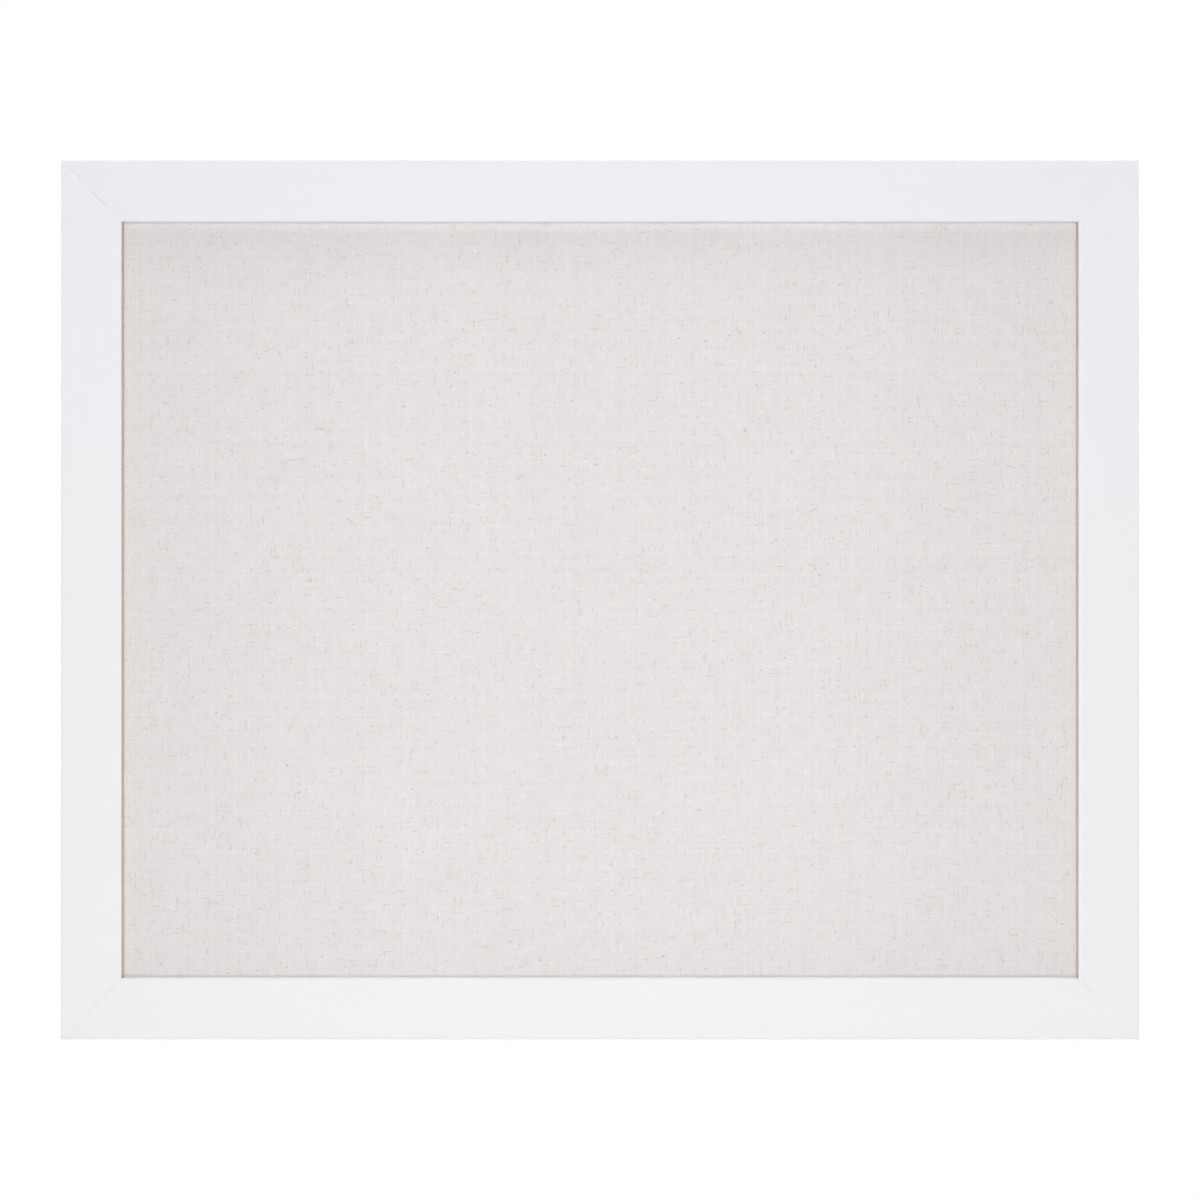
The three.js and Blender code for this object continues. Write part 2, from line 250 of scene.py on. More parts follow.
def moulding(name, outward, seed):
    """One length of moulding with both ends mitred. Its section is carried along the side, moved along
    its own normals by slight waves, by wear on the two front arrises and by a few nicks, and its ends
    are sheared onto the mitre planes. The UV map is the distance along it and round its section."""
    rng = np.random.default_rng(seed)
    outward = np.array(outward, float)
    along = np.array([outward[1], -outward[0]])
    half_length, reach = (HALF_WIDTH, HALF_HEIGHT) if outward[1] else (HALF_HEIGHT, HALF_WIDTH)
    section, girth = moulding_section()
    run = np.roll(section, -1, 0) - np.roll(section, 1, 0)
    normal = np.stack([-run[:, 1], run[:, 0]], 1) / np.hypot(*run.T)[:, None]
    arrises = np.array([(0, FRONT), (FACE, FRONT)])
    gaps = [np.hypot(*(section - arris).T) for arris in arrises]

    # Stations along the side: even steps, closer about each nick, then rings that ease the mitre's edge
    plain = half_length - FACE - END_ZONE
    nick_at = rng.uniform(-plain, plain, (2, NICKS_PER_ARRIS))
    nick_size = rng.uniform(*NICK_SIZES_MM, (2, NICKS_PER_ARRIS)) * MM
    nick_depth = rng.uniform(0.3, 1.0, (2, NICKS_PER_ARRIS)) * NICK_DEPTH
    close = nick_at[..., None] + nick_size[..., None] * np.linspace(-2, 2, 11)
    even = np.linspace(-plain, plain, math.ceil(2 * plain / STATION_STEP) + 1)
    middle = np.unique(np.concatenate([even, close.ravel()[np.abs(close.ravel()) < plain]]))
    share = np.linspace(0, 1, 14)[1:-1]
    ease = np.linspace(0, math.pi / 2, 5)
    depth = section[:, 0]
    end = half_length - depth - MITRE_GAP / math.sqrt(2)
    sheared = plain + share[:, None] * (end - MITRE_EASE - plain)
    rings = end - MITRE_EASE * (1 - np.sin(ease))[:, None]
    tail = np.concatenate([sheared, rings])
    station = np.concatenate([-tail[::-1], np.repeat(middle[:, None], len(section), 1), tail])
    inset = MITRE_EASE * (1 - np.cos(ease))
    eased = np.zeros(len(station))
    eased[-len(ease):] = inset
    eased[:len(ease)] = inset[::-1]

    move = np.minimum(SURFACE_WAVE * (waves(station, girth[:-1], *WAVE_LENGTHS, seed) - 1), 0)
    for k, gap in enumerate(gaps):
        worn = 0.5 + 0.5 * waves(station, 0, WEAR_LENGTH, 1, seed + 10 + k)
        move -= ARRIS_WEAR * worn * np.exp(-((gap / WEAR_SPREAD) ** 2))
        for at, size, deep in zip(nick_at[k], nick_size[k], nick_depth[k]):
            move -= deep * np.exp(-((station - at) ** 2 + gap**2) / size**2)
    move -= eased[:, None]
    inward = depth + normal[:, 0] * move
    height = section[:, 1] + normal[:, 1] * move
    points = np.stack([
        outward[0] * (reach - inward) + along[0] * station,
        -height,
        outward[1] * (reach - inward) + along[1] * station,
    ], -1)
    along_uv = np.concatenate([station, station[:, :1]], 1) + 2 * seed
    around_uv = np.broadcast_to(girth, along_uv.shape)
    return tube(name, points, uv=np.stack([along_uv, around_uv], -1))


# Panels: the linen cover and the two boards

FINE_INSIDE_MM = 8
FINE_OUTSIDE_MM = 1


def panel_axis(half, sight, steps_mm, corner):
    """Grid places across a panel: wide steps in the middle, fine ones where the sight edge passes, and
    three close to the rim so that the corner can be rounded."""
    middle, fine, rim = steps_mm
    near = sight - FINE_INSIDE_MM * MM
    far = sight + FINE_OUTSIDE_MM * MM
    inner = np.linspace(0, near, math.ceil(near / (middle * MM)) + 1)
    edge = np.linspace(near, far, math.ceil((FINE_INSIDE_MM + FINE_OUTSIDE_MM) / fine) + 1)[1:]
    outer = np.linspace(far, half - corner, rim + 1)[1:]
    last = half - corner + corner * np.array([0.5, 1.0])
    side = np.concatenate([inner, edge, outer, last])
    return np.concatenate([-side[:0:-1], side])


def clad(name, xs, zs, corner, front, rows, back=None, **options):
    """A panel: a grid over its face whose height is front(x, z), with its corners drawn onto arcs, then
    rows of (outset, height, run) that carry the edge on. An outset under zero scales the edge towards
    the middle, which mitres a hem. back(x, z) closes the other side. The UV map is the cloth laid flat:
    a row's run out from the edge."""
    x, z = np.meshgrid(xs, zs, indexing="ij")
    half_x, half_z = xs[-1], zs[-1]
    over_x = np.maximum(np.abs(x) - (half_x - corner), 0)
    over_z = np.maximum(np.abs(z) - (half_z - corner), 0)
    reach = np.hypot(over_x, over_z)
    draw = np.where(reach > 0, np.maximum(over_x, over_z) / np.maximum(reach, 1e-12), 1)
    in_corner = (over_x > 0) & (over_z > 0)
    x = np.where(in_corner, np.sign(x) * (half_x - corner + over_x * draw), x)
    z = np.where(in_corner, np.sign(z) * (half_z - corner + over_z * draw), z)
    index = np.arange(x.size).reshape(x.shape)
    loop = np.concatenate([index[:-1, 0], index[-1, :-1], index[:0:-1, -1], index[0, :0:-1]])
    flat = np.stack([x, z], -1).reshape(-1, 2)
    rim = flat[loop]
    out = np.stack([np.sign(x) * over_x, np.sign(z) * over_z], -1).reshape(-1, 2)[loop]
    on_x = np.abs(np.abs(rim[:, 0]) - half_x) < 1e-9
    straight = np.where(on_x[:, None], [1, 0], [0, 1]) * np.sign(rim)
    out = np.where(in_corner.ravel()[loop][:, None], out, straight)
    out = out / np.hypot(*out.T)[:, None]

    vertices = [np.stack([x, -front(x, z), z], -1).reshape(-1, 3)]
    uv = [flat]
    faces = [grid_faces(*x.shape)]
    before = loop
    total = x.size
    around = len(loop)
    for outset, height, run in rows:
        place = rim + out * outset if outset >= 0 else rim * (1 + outset / np.array([half_x, half_z]))
        vertices.append(np.stack([place[:, 0], np.full(around, -height), place[:, 1]], 1))
        uv.append(rim + out * run)
        ring = total + np.arange(around)
        faces.append(np.stack([before, np.roll(before, -1), np.roll(ring, -1), ring], 1))
        before = ring
        total += around
    if back is not None:
        vertices.append(np.stack([x, -back(x, z), z], -1).reshape(-1, 3))
        uv.append(flat)
        faces.append(grid_faces(*x.shape, first=total))
    return mesh_piece(name, np.concatenate(vertices), np.concatenate(faces), np.concatenate(uv), **options)


def edge_rows(ease, top, bottom, steps):
    """The rows (outset, height, run) that carry a panel's face round an eased edge, down its side and
    round the edge behind. A run is the way along them from the face."""
    turn = np.linspace(0, math.pi / 2, steps + 1)
    down = ease * math.pi / 2 + (top - bottom - 2 * ease)
    over = [(ease * math.sin(a), top - ease * (1 - math.cos(a)), ease * a) for a in turn[1:]]
    under = [(ease * math.cos(a), bottom + ease * (1 - math.sin(a)), down + ease * a) for a in turn]
    return over + under


WRAP_ROUND = 1.0 * MM
PANEL_CORNER = 1.2 * MM
HEM_WIDTH = 24 * MM
FIELD_RUN = 3.0 * MM
FIELD_WAVE = 0.10 * MM
FIELD_WAVE_LENGTHS = (90 * MM, 70 * MM)
LINEN_STEPS_MM = (5, 0.6, 3)


def field_rise(x, z):
    """How far the field has risen between the lips: 0 at the sight edge, 1 a short run inside it."""
    return smooth_step((SIGHT_X - np.abs(x)) / FIELD_RUN) * smooth_step((SIGHT_Z - np.abs(z)) / FIELD_RUN)


def linen_cover():
    """The linen over the panel's face, round its edges and behind it as a mitred hem. The field stands
    a little proud between the lips, with faint slack waves."""
    xs = panel_axis(PANEL_HIGH[0] - WRAP_ROUND, SIGHT_X, LINEN_STEPS_MM, PANEL_CORNER)
    zs = panel_axis(PANEL_HIGH[2] - WRAP_ROUND, SIGHT_Z, LINEN_STEPS_MM, PANEL_CORNER)

    def front(x, z):
        slack = FIELD_WAVE * (waves(x, z, *FIELD_WAVE_LENGTHS, seed=5) - 1)
        return CLOTH_FRONT + field_rise(x, z) * (FIELD_PROUD + slack)

    rows = edge_rows(WRAP_ROUND, CLOTH_FRONT, HEM_BACK, 4)
    wrapped = rows[-1][2]
    hem = HEM_WIDTH - WRAP_ROUND
    rows += [(-hem * share, HEM_BACK, wrapped + hem * share) for share in (0.25, 0.5, 0.75, 1.0)]
    cover = clad("linen", xs, zs, PANEL_CORNER, front, rows, closed=False, sharp_deg=180)
    thick = cover.modifiers.new("Cloth", "SOLIDIFY")
    thick.thickness = CLOTH
    thick.offset = -1
    return cover


BOARD_EASE = 0.35 * MM
BOARD_STEPS_MM = (12, 3, 2)
CORE_SINK = 0.1 * MM
BOARD_BOW = 0.096 * MM
BOW_RIM = 40 * MM
BOW_LENGTHS = (160 * MM, 130 * MM)


def board(name, node, front, back):
    """A sheet of board with eased edges, between the heights that front(x, z) and back(x, z) give."""
    _, high = corners_of(node)
    ease = BOARD_EASE
    corner = 2 * ease
    xs = panel_axis(high[0] - ease, SIGHT_X, BOARD_STEPS_MM, corner)
    zs = panel_axis(high[2] - ease, SIGHT_Z, BOARD_STEPS_MM, corner)
    top = float(front(np.array(xs[-1]), np.array(zs[-1])))
    bottom = float(back(np.array(xs[-1]), np.array(zs[-1])))
    rows = [(outset, height, 0) for outset, height, _ in edge_rows(ease, top, bottom, 3)]
    return clad(name, xs, zs, corner, front, rows, back)


def pin_core():
    """The soft fibreboard under the linen, raised between the lips as the linen is."""
    low, high = corners_of("pin_core")
    flat = CLOTH_FRONT - CLOTH - LAYER_GAP
    rise = -low[1] - flat

    def front(x, z):
        return flat + rise * field_rise(x, z) - CORE_SINK

    def back(x, z):
        return np.full_like(x, -high[1])

    return board("fibreboard", "pin_core", front, back)


def backing_board():
    """The hardboard that closes the back, with the slight waves of a thin sheet on its outer side."""
    low, high = corners_of("backing_board")

    def front(x, z):
        return np.full_like(x, -low[1])

    def back(x, z):
        rim = smooth_step((high[0] - np.abs(x)) / BOW_RIM) * smooth_step((high[2] - np.abs(z)) / BOW_RIM)
        return -high[1] + BOARD_BOW * rim * waves(x, z, *BOW_LENGTHS, seed=9)

    return board("hardboard", "backing_board", front, back)


# Fastenings

NAIL_PROUD = 0.05 * MM
NAIL_THICKNESS = 0.6 * MM
NAIL_EASE = 0.12 * MM
NAIL_STEP = 1.5 * MM
NAIL_END = 1 * MM


def v_nail(node):
    """A V-nail: an eased V outline carried through the mitre. Its apex is the corner of its box nearest
    the board's middle, its legs open outwards, and its back edge is flush."""
    low, high = corners_of(node)
    near = np.where(np.abs(low) < np.abs(high), low, high)
    far = np.where(np.abs(low) < np.abs(high), high, low)
    leg_x, leg_z = far[0] - near[0], far[2] - near[2]
    thick_x = np.sign(leg_x) * NAIL_THICKNESS
    thick_z = np.sign(leg_z) * NAIL_THICKNESS
    x, z = near[0], near[2]
    outline = eased_outline([
        (x, z, 2 * NAIL_EASE, NAIL_STEP),
        (x + leg_x, z, NAIL_EASE, NAIL_STEP),
        (x + leg_x, z + thick_z, NAIL_EASE, NAIL_STEP),
        (x + thick_x, z + thick_z, NAIL_EASE, NAIL_STEP),
        (x + thick_x, z + leg_z, NAIL_EASE, NAIL_STEP),
        (x, z + leg_z, NAIL_EASE, NAIL_STEP),
    ], arc_steps=3)
    heights = (BACK - NAIL_PROUD, BACK + NAIL_END, -low[1] - NAIL_END, -low[1])
    points = np.stack([
        np.stack([outline[:, 0], np.full(len(outline), -height), outline[:, 1]], 1) for height in heights
    ])
    return tube(f"steel_{node}", points)


POINT_TAPER = 4 * MM
POINT_ROUND = 1.5 * MM
POINT_RIB = 0.3 * MM
POINT_RIB_WIDTH = 0.7 * MM
POINT_RIB_END = 2 * MM
POINT_TIP_SHARE = 0.05
POINT_SQUARENESS = 0.35


def squared(v):
    """Flattens a sine or cosine towards a square wave: its sign times its size to a small power."""
    return np.sign(v) * np.abs(v) ** POINT_SQUARENESS


def framers_point(node, outward):
    """A framer's point: a thin strip with a rounded end, a pressed rib and a tapered blade that enters
    the rabbet's wall. Its section is a flat superellipse, and its half width is a function of the place
    along it."""
    low, high = corners_of(node)
    outward = np.array(outward, float)
    across = np.array([outward[1], -outward[0]])
    size = high - low
    length, width = (size[2], size[0]) if outward[1] else (size[0], size[2])
    thickness = size[1]
    centre = (low + high) / 2
    bend = np.linspace(0, math.pi / 2, 7)
    a = np.concatenate([
        POINT_ROUND * (1 - np.cos(bend)),
        np.linspace(POINT_ROUND, length - POINT_TAPER, 12)[1:],
        np.linspace(length - POINT_TAPER, length, 6)[1:],
    ])
    into = np.clip(a / POINT_ROUND, 0, 1)
    half = width / 2 - POINT_ROUND * (1 - np.sqrt(1 - (1 - into) ** 2))
    half = half * np.clip((length - a) / POINT_TAPER, POINT_TIP_SHARE, 1)
    turn = np.linspace(0, 2 * math.pi, 33)[:-1]
    b = half[:, None] * squared(np.cos(turn))
    rib = POINT_RIB * np.exp(-((b / POINT_RIB_WIDTH) ** 2))
    rib = rib * smooth_step((a[:, None] - POINT_ROUND) / POINT_ROUND)
    rib = rib * smooth_step((length - POINT_TAPER - a[:, None]) / POINT_RIB_END)
    lift = thickness / 2 * squared(np.sin(turn)) + rib
    place = np.broadcast_to(a[:, None] - length / 2, b.shape)
    points = np.stack([
        centre[0] + outward[0] * place + across[0] * b,
        centre[1] + lift,
        centre[2] + outward[1] * place + across[1] * b,
    ], -1)
    return tube(f"steel_{node}", points)


# Hangers. Along a strap, a points to its ring; b is across it, along the hinge; the lift c is off the
# frame's back.

STRAP_SEAT = 0.1 * MM
STRAP = 0.6 * MM
STRAP_FOLD = 5.0 * MM
FOLD_ROUND = 1.5 * MM
SCREW_HOLE = 1.9 * MM
RING_WIRE = 0.9 * MM
RING_CORNER = 2.2 * MM
RING_STRAIGHT = 5.0 * MM
RING_BUTT_GAP = 0.4 * MM
RING_END_SHARE = 0.85
SCREW_SHANK = 1.5 * MM
SCREW_LENGTH = 10 * MM
SCREW_RIM = 0.6 * MM
SCREW_DOME = 1.2 * MM
SCREW_DOME_POWER = 0.7
SCREW_UNDER_SHARE = 0.96
SCREW_HEAD_EASE = 0.1 * MM
SCREW_NECK = 0.4 * MM
SCREW_TAPER = 2.5 * MM
SCREW_TIP_SHARE = 0.08
DRIVE_WIDTH = 0.9 * MM
DRIVE_SPAN = 3.6 * MM
DRIVE_SIDE_EASE = 0.2 * MM
DRIVE_END_EASE = 0.4 * MM
DRIVE_DEPTH = 1.1 * MM
DRIVE_FADE = 0.6
THREAD_PITCH = 1.3 * MM
THREAD_DEPTH = 0.35 * MM
THREAD_START = 0.5 * MM
STRAP_BEVEL = 0.12 * MM
STRAP_STEPS = 60


def hanger_axes(place):
    """A hanger's directions: unit vectors along a and b."""
    if place in ("top", "bottom"):
        return np.array([1, 0, 0]), np.array([0, 0, 1])
    return np.array([0, 0, 1]), np.array([-1, 0, 0])


def hanger_sizes(place):
    """A hanger's barrel radius, its strap's width, and the distance from its hinge to its screw."""
    low, high = corners_of(f"hanger_plate_{place}")
    along, across = hanger_axes(place)
    barrel = (high[1] - low[1]) / 2
    width = float(np.abs(high - low) @ np.abs(across))
    return barrel, width, float((high - low) @ along) - barrel - width / 2


def hanger_points(place, a, b, c):
    """Points in a hanger's own directions, in the board's frame. The hinge is over the frame's back."""
    low, high = corners_of(f"hanger_plate_{place}")
    along, across = hanger_axes(place)
    barrel, _, _ = hanger_sizes(place)
    hinge = (low + high) / 2 * np.abs(across) + along * (high - barrel * along)
    hinge = hinge * np.array([1, 0, 1]) + np.array([0, -BACK, 0])
    a, b, c = np.broadcast_arrays(a, b, c)
    return hinge + a[..., None] * along + b[..., None] * across + c[..., None] * np.array([0, 1, 0])


def strap_path(barrel, reach, tail):
    """The strap's middle line in (a, c): straight under the ring's bar, round the barrel, down a
    tangent to the first layer, round a fillet and straight back to the tail."""
    bore = barrel - STRAP / 2
    axle = STRAP_SEAT + barrel
    top = STRAP_SEAT + 1.5 * STRAP
    drop = np.array([-STRAP_FOLD, top - axle])
    span = np.hypot(*drop)
    touch = math.atan2(drop[1], drop[0]) + 2 * math.pi - math.acos(bore / span)
    slope = touch - math.pi / 2
    cut = FOLD_ROUND * math.tan(slope / 2)
    bend = arc((-STRAP_FOLD - cut, top + FOLD_ROUND), FOLD_ROUND, 1.5 * math.pi + slope, 1.5 * math.pi, 6)
    under = np.linspace(-reach - tail, 0, STRAP_STEPS)[:-1]
    start = np.stack([under, np.full_like(under, axle - bore)], 1)
    barrel_arc = arc((0, axle), bore, -math.pi / 2, touch, 36)
    over = np.linspace(bend[-1][0], -reach - tail, STRAP_STEPS)[1:]
    end = np.stack([over, np.full_like(over, top)], 1)
    return np.concatenate([start, barrel_arc, bend, end])


def strap(place):
    """The folded strap of a D-ring hanger. It is laid out flat as a strip with round ends, where a ring
    of quads round each screw hole meets a plain grid, and is then folded along its path by distance."""
    barrel, width, reach = hanger_sizes(place)
    tail = width / 2
    path = strap_path(barrel, reach, tail)
    run = np.concatenate([[0], np.cumsum(np.hypot(*np.diff(path, axis=0).T))])
    whole = run[-1]
    turn = np.linspace(-math.pi, math.pi, 49)
    square = 1 / np.maximum(np.abs(np.cos(turn)), np.abs(np.sin(turn)))
    rim = tail * np.where(np.cos(turn) < -1e-9, 1, square)
    share = np.linspace(0, 1, 7)[:, None]
    radius = SCREW_HOLE + share * (rim - SCREW_HOLE)
    s_end, b_end = tail + radius * np.cos(turn), radius * np.sin(turn)
    b_row = tail * np.tan(np.linspace(-math.pi / 4, math.pi / 4, 13))
    s_row = np.linspace(2 * tail, whole - 2 * tail, 150)
    s_mid, b_mid = np.meshgrid(s_row, b_row, indexing="ij")
    blocks = [(s_end, b_end), (s_mid, b_mid), (whole - s_end, b_end)]
    vertices, faces, total = [], [], 0
    for s, b in blocks:
        a = np.interp(s, run, path[:, 0])
        c = np.interp(s, run, path[:, 1])
        vertices.append(hanger_points(place, a, b, c).reshape(-1, 3))
        faces.append(grid_faces(*s.shape, first=total))
        total += s.size
    piece = mesh_piece(f"strap_{place}", np.concatenate(vertices), np.concatenate(faces), sharp_deg=50)
    thick = piece.modifiers.new("Strip", "SOLIDIFY")
    thick.thickness = STRAP
    thick.offset = 0
    edge = piece.modifiers.new("Edge", "BEVEL")
    edge.width = STRAP_BEVEL
    edge.segments = 2
    edge.angle_limit = math.radians(50)
    return piece


def ring_path(reach):
    """A D-ring's middle line in (a, b): from the butt joint along the bar, round a corner, up the leg,
    round the bow and back the same way. The bar lies on the hinge, and the bow points to -a."""
    half = reach - RING_STRAIGHT
    side = half - RING_CORNER
    bar = np.stack([np.zeros(8), np.linspace(RING_BUTT_GAP / 2, side, 8)], 1)
    corner = arc((-RING_CORNER, side), RING_CORNER, 0, math.pi / 2, 10)
    leg = np.stack([np.linspace(-RING_CORNER, -RING_STRAIGHT, 4)[1:-1], np.full(2, half)], 1)
    bow = arc((-RING_STRAIGHT, 0), half, math.pi / 2, math.pi, 24)
    first = np.concatenate([bar, corner[1:], leg, bow])
    return np.concatenate([first, (first * [1, -1])[-2::-1]])


def ring(place):
    """A D-ring of round wire, carried along its path and leant on its hinge so that its bow clears the
    strap."""
    barrel, _, _ = hanger_sizes(place)
    low, high = corners_of(f"hanger_ring_{place}")
    _, across = hanger_axes(place)
    half = float((high - low) @ np.abs(across)) / 2 - RING_WIRE
    reach = RING_STRAIGHT + half
    axle = STRAP_SEAT + barrel
    lean = math.asin((BACK + high[1] - RING_WIRE - axle) / reach)
    path = ring_path(reach)
    run = np.gradient(path, axis=0)
    side = np.stack([run[:, 1], -run[:, 0]], 1) / np.hypot(*run.T)[:, None]
    turn = np.linspace(0, 2 * math.pi, 25)[:-1]
    wire = np.full(len(path), RING_WIRE)
    wire[[0, -1]] = RING_END_SHARE * RING_WIRE
    a = path[:, :1] + side[:, :1] * wire[:, None] * np.cos(turn)
    b = path[:, 1:] + side[:, 1:] * wire[:, None] * np.cos(turn)
    c = wire[:, None] * np.sin(turn)
    lean_a = a * math.cos(lean) + c * math.sin(lean)
    lean_c = -a * math.sin(lean) + c * math.cos(lean)
    return tube(f"d_ring_{place}", hanger_points(place, lean_a, b, axle + lean_c), sharp_deg=60)


def screw(place):
    """A pan-head screw: a surface turned about its axis, whose head is pressed in by a cross and whose
    shank has a helical thread of triangular section that runs out towards the tip."""
    _, _, reach = hanger_sizes(place)
    low, high = corners_of(f"hanger_screw_{place}")
    _, across = hanger_axes(place)
    head = float((high - low) @ np.abs(across)) / 2
    seat = STRAP_SEAT + 2 * STRAP + STRAP_SEAT
    rim = seat + SCREW_RIM
    tip = seat - SCREW_LENGTH
    turn = np.linspace(0, 2 * math.pi, 97)[:-1]
    dome_at = np.linspace(0, math.pi / 2, 44)
    shank = np.linspace(seat - SCREW_NECK, tip + SCREW_HEAD_EASE, 48)
    point = np.clip((shank - tip) / SCREW_TAPER, SCREW_TIP_SHARE, 1)
    under = [head, head * SCREW_UNDER_SHARE, SCREW_SHANK]
    radius = np.concatenate([head * np.sin(dome_at), under, SCREW_SHANK * point, [0]])
    dome = rim + SCREW_DOME * np.cos(dome_at) ** SCREW_DOME_POWER
    lift = np.concatenate([dome, [seat + SCREW_HEAD_EASE, seat, seat], shank, [tip]])
    b = radius[:, None] * np.cos(turn)
    a = radius[:, None] * np.sin(turn)

    def slot(u, v):
        wide = smooth_step((DRIVE_WIDTH / 2 - np.abs(u)) / DRIVE_SIDE_EASE + 0.5)
        return wide * smooth_step((DRIVE_SPAN / 2 - np.abs(v)) / DRIVE_END_EASE + 0.5)

    pressed = DRIVE_DEPTH * np.maximum(slot(a, b), slot(b, a)) * (1 - DRIVE_FADE * np.hypot(a, b) / head)
    on_head = (lift > rim)[:, None]
    c = lift[:, None] - np.where(on_head, pressed, 0)
    phase = (lift[:, None] / THREAD_PITCH + turn / (2 * math.pi)) % 1
    groove = THREAD_DEPTH * np.abs(2 * phase - 1) * (lift < seat - THREAD_START)[:, None]
    shrink = np.where(radius[:, None] > 0, 1 - groove / np.maximum(radius[:, None], SCREW_SHANK / 3), 1)
    points = hanger_points(place, a * shrink - reach, b * shrink, c)
    return tube(f"screw_{place}", points, caps=False)


BUMPER_EDGE = 1.6 * MM
BUMPER_RIM_SHARE = 0.55
BUMPER_SIDE_SHARE = 1.3
BUMPER_DISH = 0.12 * MM
BUMPER_BACK_EASE = 0.2 * MM


def bumper(node):
    """A soft bumper: a disc turned about its axis, with a straight rim, an edge that draws in as a
    quarter ellipse, and a faint dish in the face that meets the wall."""
    low, high = corners_of(node)
    centre = (low + high) / 2
    radius = (high[0] - low[0]) / 2
    thickness = high[1] - low[1]
    rim = thickness * BUMPER_RIM_SHARE
    bend = np.linspace(math.pi / 2, 0, 12)
    flat = np.linspace(0, radius - BUMPER_EDGE, 8)
    dish = BUMPER_DISH * np.cos(flat / flat[-1] * math.pi / 2) ** 2
    edge = radius - BUMPER_EDGE * (1 - np.cos(bend[1:]))
    drawn = rim * (1 - np.sin(bend[1:]))
    out = np.concatenate([flat, edge, [radius, radius, radius - BUMPER_BACK_EASE, 0]])
    side = [rim * BUMPER_SIDE_SHARE, thickness - BUMPER_BACK_EASE, thickness, thickness]
    off = np.concatenate([dish, drawn, side])
    turn = np.linspace(0, 2 * math.pi, 65)[:-1]
    points = np.stack([
        centre[0] + out[:, None] * np.cos(turn),
        np.repeat(-off[:, None], len(turn), 1),
        centre[2] + out[:, None] * np.sin(turn),
    ], -1)
    return tube(f"soft_{node}", points, caps=False)


# Materials

def srgb(red, green, blue):
    """A colour given by its sRGB values from 0 to 255, as the linear colour that a shader takes."""
    share = np.array([red, green, blue]) / 255
    linear = np.where(share <= 0.04045, share / 12.92, ((share + 0.055) / 1.055) ** 2.4)
    return (*linear.tolist(), 1.0)


class Wiring:
    """Adds nodes to one node tree. A method returns its last node's output socket, unless it says
    otherwise."""

    def __init__(self, tree):
        self.nodes = tree.nodes
        self.links = tree.links

    def put(self, kind, inputs=None, output=0, **settings):
        node = self.nodes.new(kind)
        for name, value in settings.items():
            setattr(node, name, value)
        self.feed(node, inputs or {})
        return node.outputs[output]

    def feed(self, node, inputs):
        """Links each socket given, and sets each value given, on a node's inputs. Returns nothing."""
        for key, value in inputs.items():
            if isinstance(value, bpy.types.NodeSocket):
                self.links.new(value, node.inputs[key])
            else:
                node.inputs[key].default_value = value

    def math(self, operation, first, second=0.0, third=0.0):
        return self.put("ShaderNodeMath", {0: first, 1: second, 2: third}, operation=operation)

    def muladd(self, first, factor, term):
        return self.math("MULTIPLY_ADD", first, factor, term)

    def plus(self, first, *terms):
        for term in terms:
            first = self.math("ADD", first, term)
        return first

    def times(self, first, *factors):
        for factor in factors:
            first = self.math("MULTIPLY", first, factor)
        return first

    def axes(self, vector):
        """The x, y and z of a vector."""
        return tuple(self.put("ShaderNodeSeparateXYZ", {0: vector}).node.outputs)

    def channels(self, colour):
        """The red, green and blue of a colour."""
        return tuple(self.put("ShaderNodeSeparateColor", {0: colour}).node.outputs)

    def vector(self, operation, first, second=(0, 0, 0)):
        return self.put("ShaderNodeVectorMath", {0: first, 1: second}, operation=operation)

    def scaled(self, vector, factor):
        return self.put("ShaderNodeVectorMath", {0: vector, "Scale": factor}, operation="SCALE")

    def noise(self, vector, scale, detail=2.0, roughness=0.5):
        inputs = {"Vector": vector, "Scale": scale, "Detail": detail, "Roughness": roughness}
        return self.put("ShaderNodeTexNoise", inputs)

    def span(self, value, low, high, to_low=0.0, to_high=1.0, curve="SMOOTHSTEP"):
        inputs = {0: value, 1: low, 2: high, 3: to_low, 4: to_high}
        return self.put("ShaderNodeMapRange", inputs, interpolation_type=curve)

    def mix(self, factor, first, second):
        inputs = {0: factor, 6: first, 7: second}
        return self.put("ShaderNodeMix", inputs, output=2, data_type="RGBA")

    def blend(self, factor, first, second):
        return self.put("ShaderNodeMix", {0: factor, 2: first, 3: second})

    def bump(self, height, distance, strength=1.0):
        inputs = {"Height": height, "Distance": distance, "Strength": strength}
        return self.put("ShaderNodeBump", inputs)

    def part(self, tree, inputs):
        """A node group with these inputs; returns all its outputs."""
        node = self.nodes.new("ShaderNodeGroup")
        node.node_tree = tree
        self.feed(node, inputs)
        return node.outputs


def new_group(name, inputs, outputs):
    """An empty node group: its tree, its wiring, its input sockets and a call that sets an output. An
    input whose value is None is a vector, and every other socket is a number."""
    tree = bpy.data.node_groups.new(name, "ShaderNodeTree")
    for socket, value in inputs.items():
        kind = "NodeSocketVector" if value is None else "NodeSocketFloat"
        made = tree.interface.new_socket(name=socket, in_out="INPUT", socket_type=kind)
        if value is not None:
            made.default_value = value
    for socket in outputs:
        tree.interface.new_socket(name=socket, in_out="OUTPUT", socket_type="NodeSocketFloat")
    given = tree.nodes.new("NodeGroupInput").outputs
    result = tree.nodes.new("NodeGroupOutput")

    def set_output(socket, value):
        tree.links.new(value, result.inputs[socket])

    return tree, Wiring(tree), given, set_output


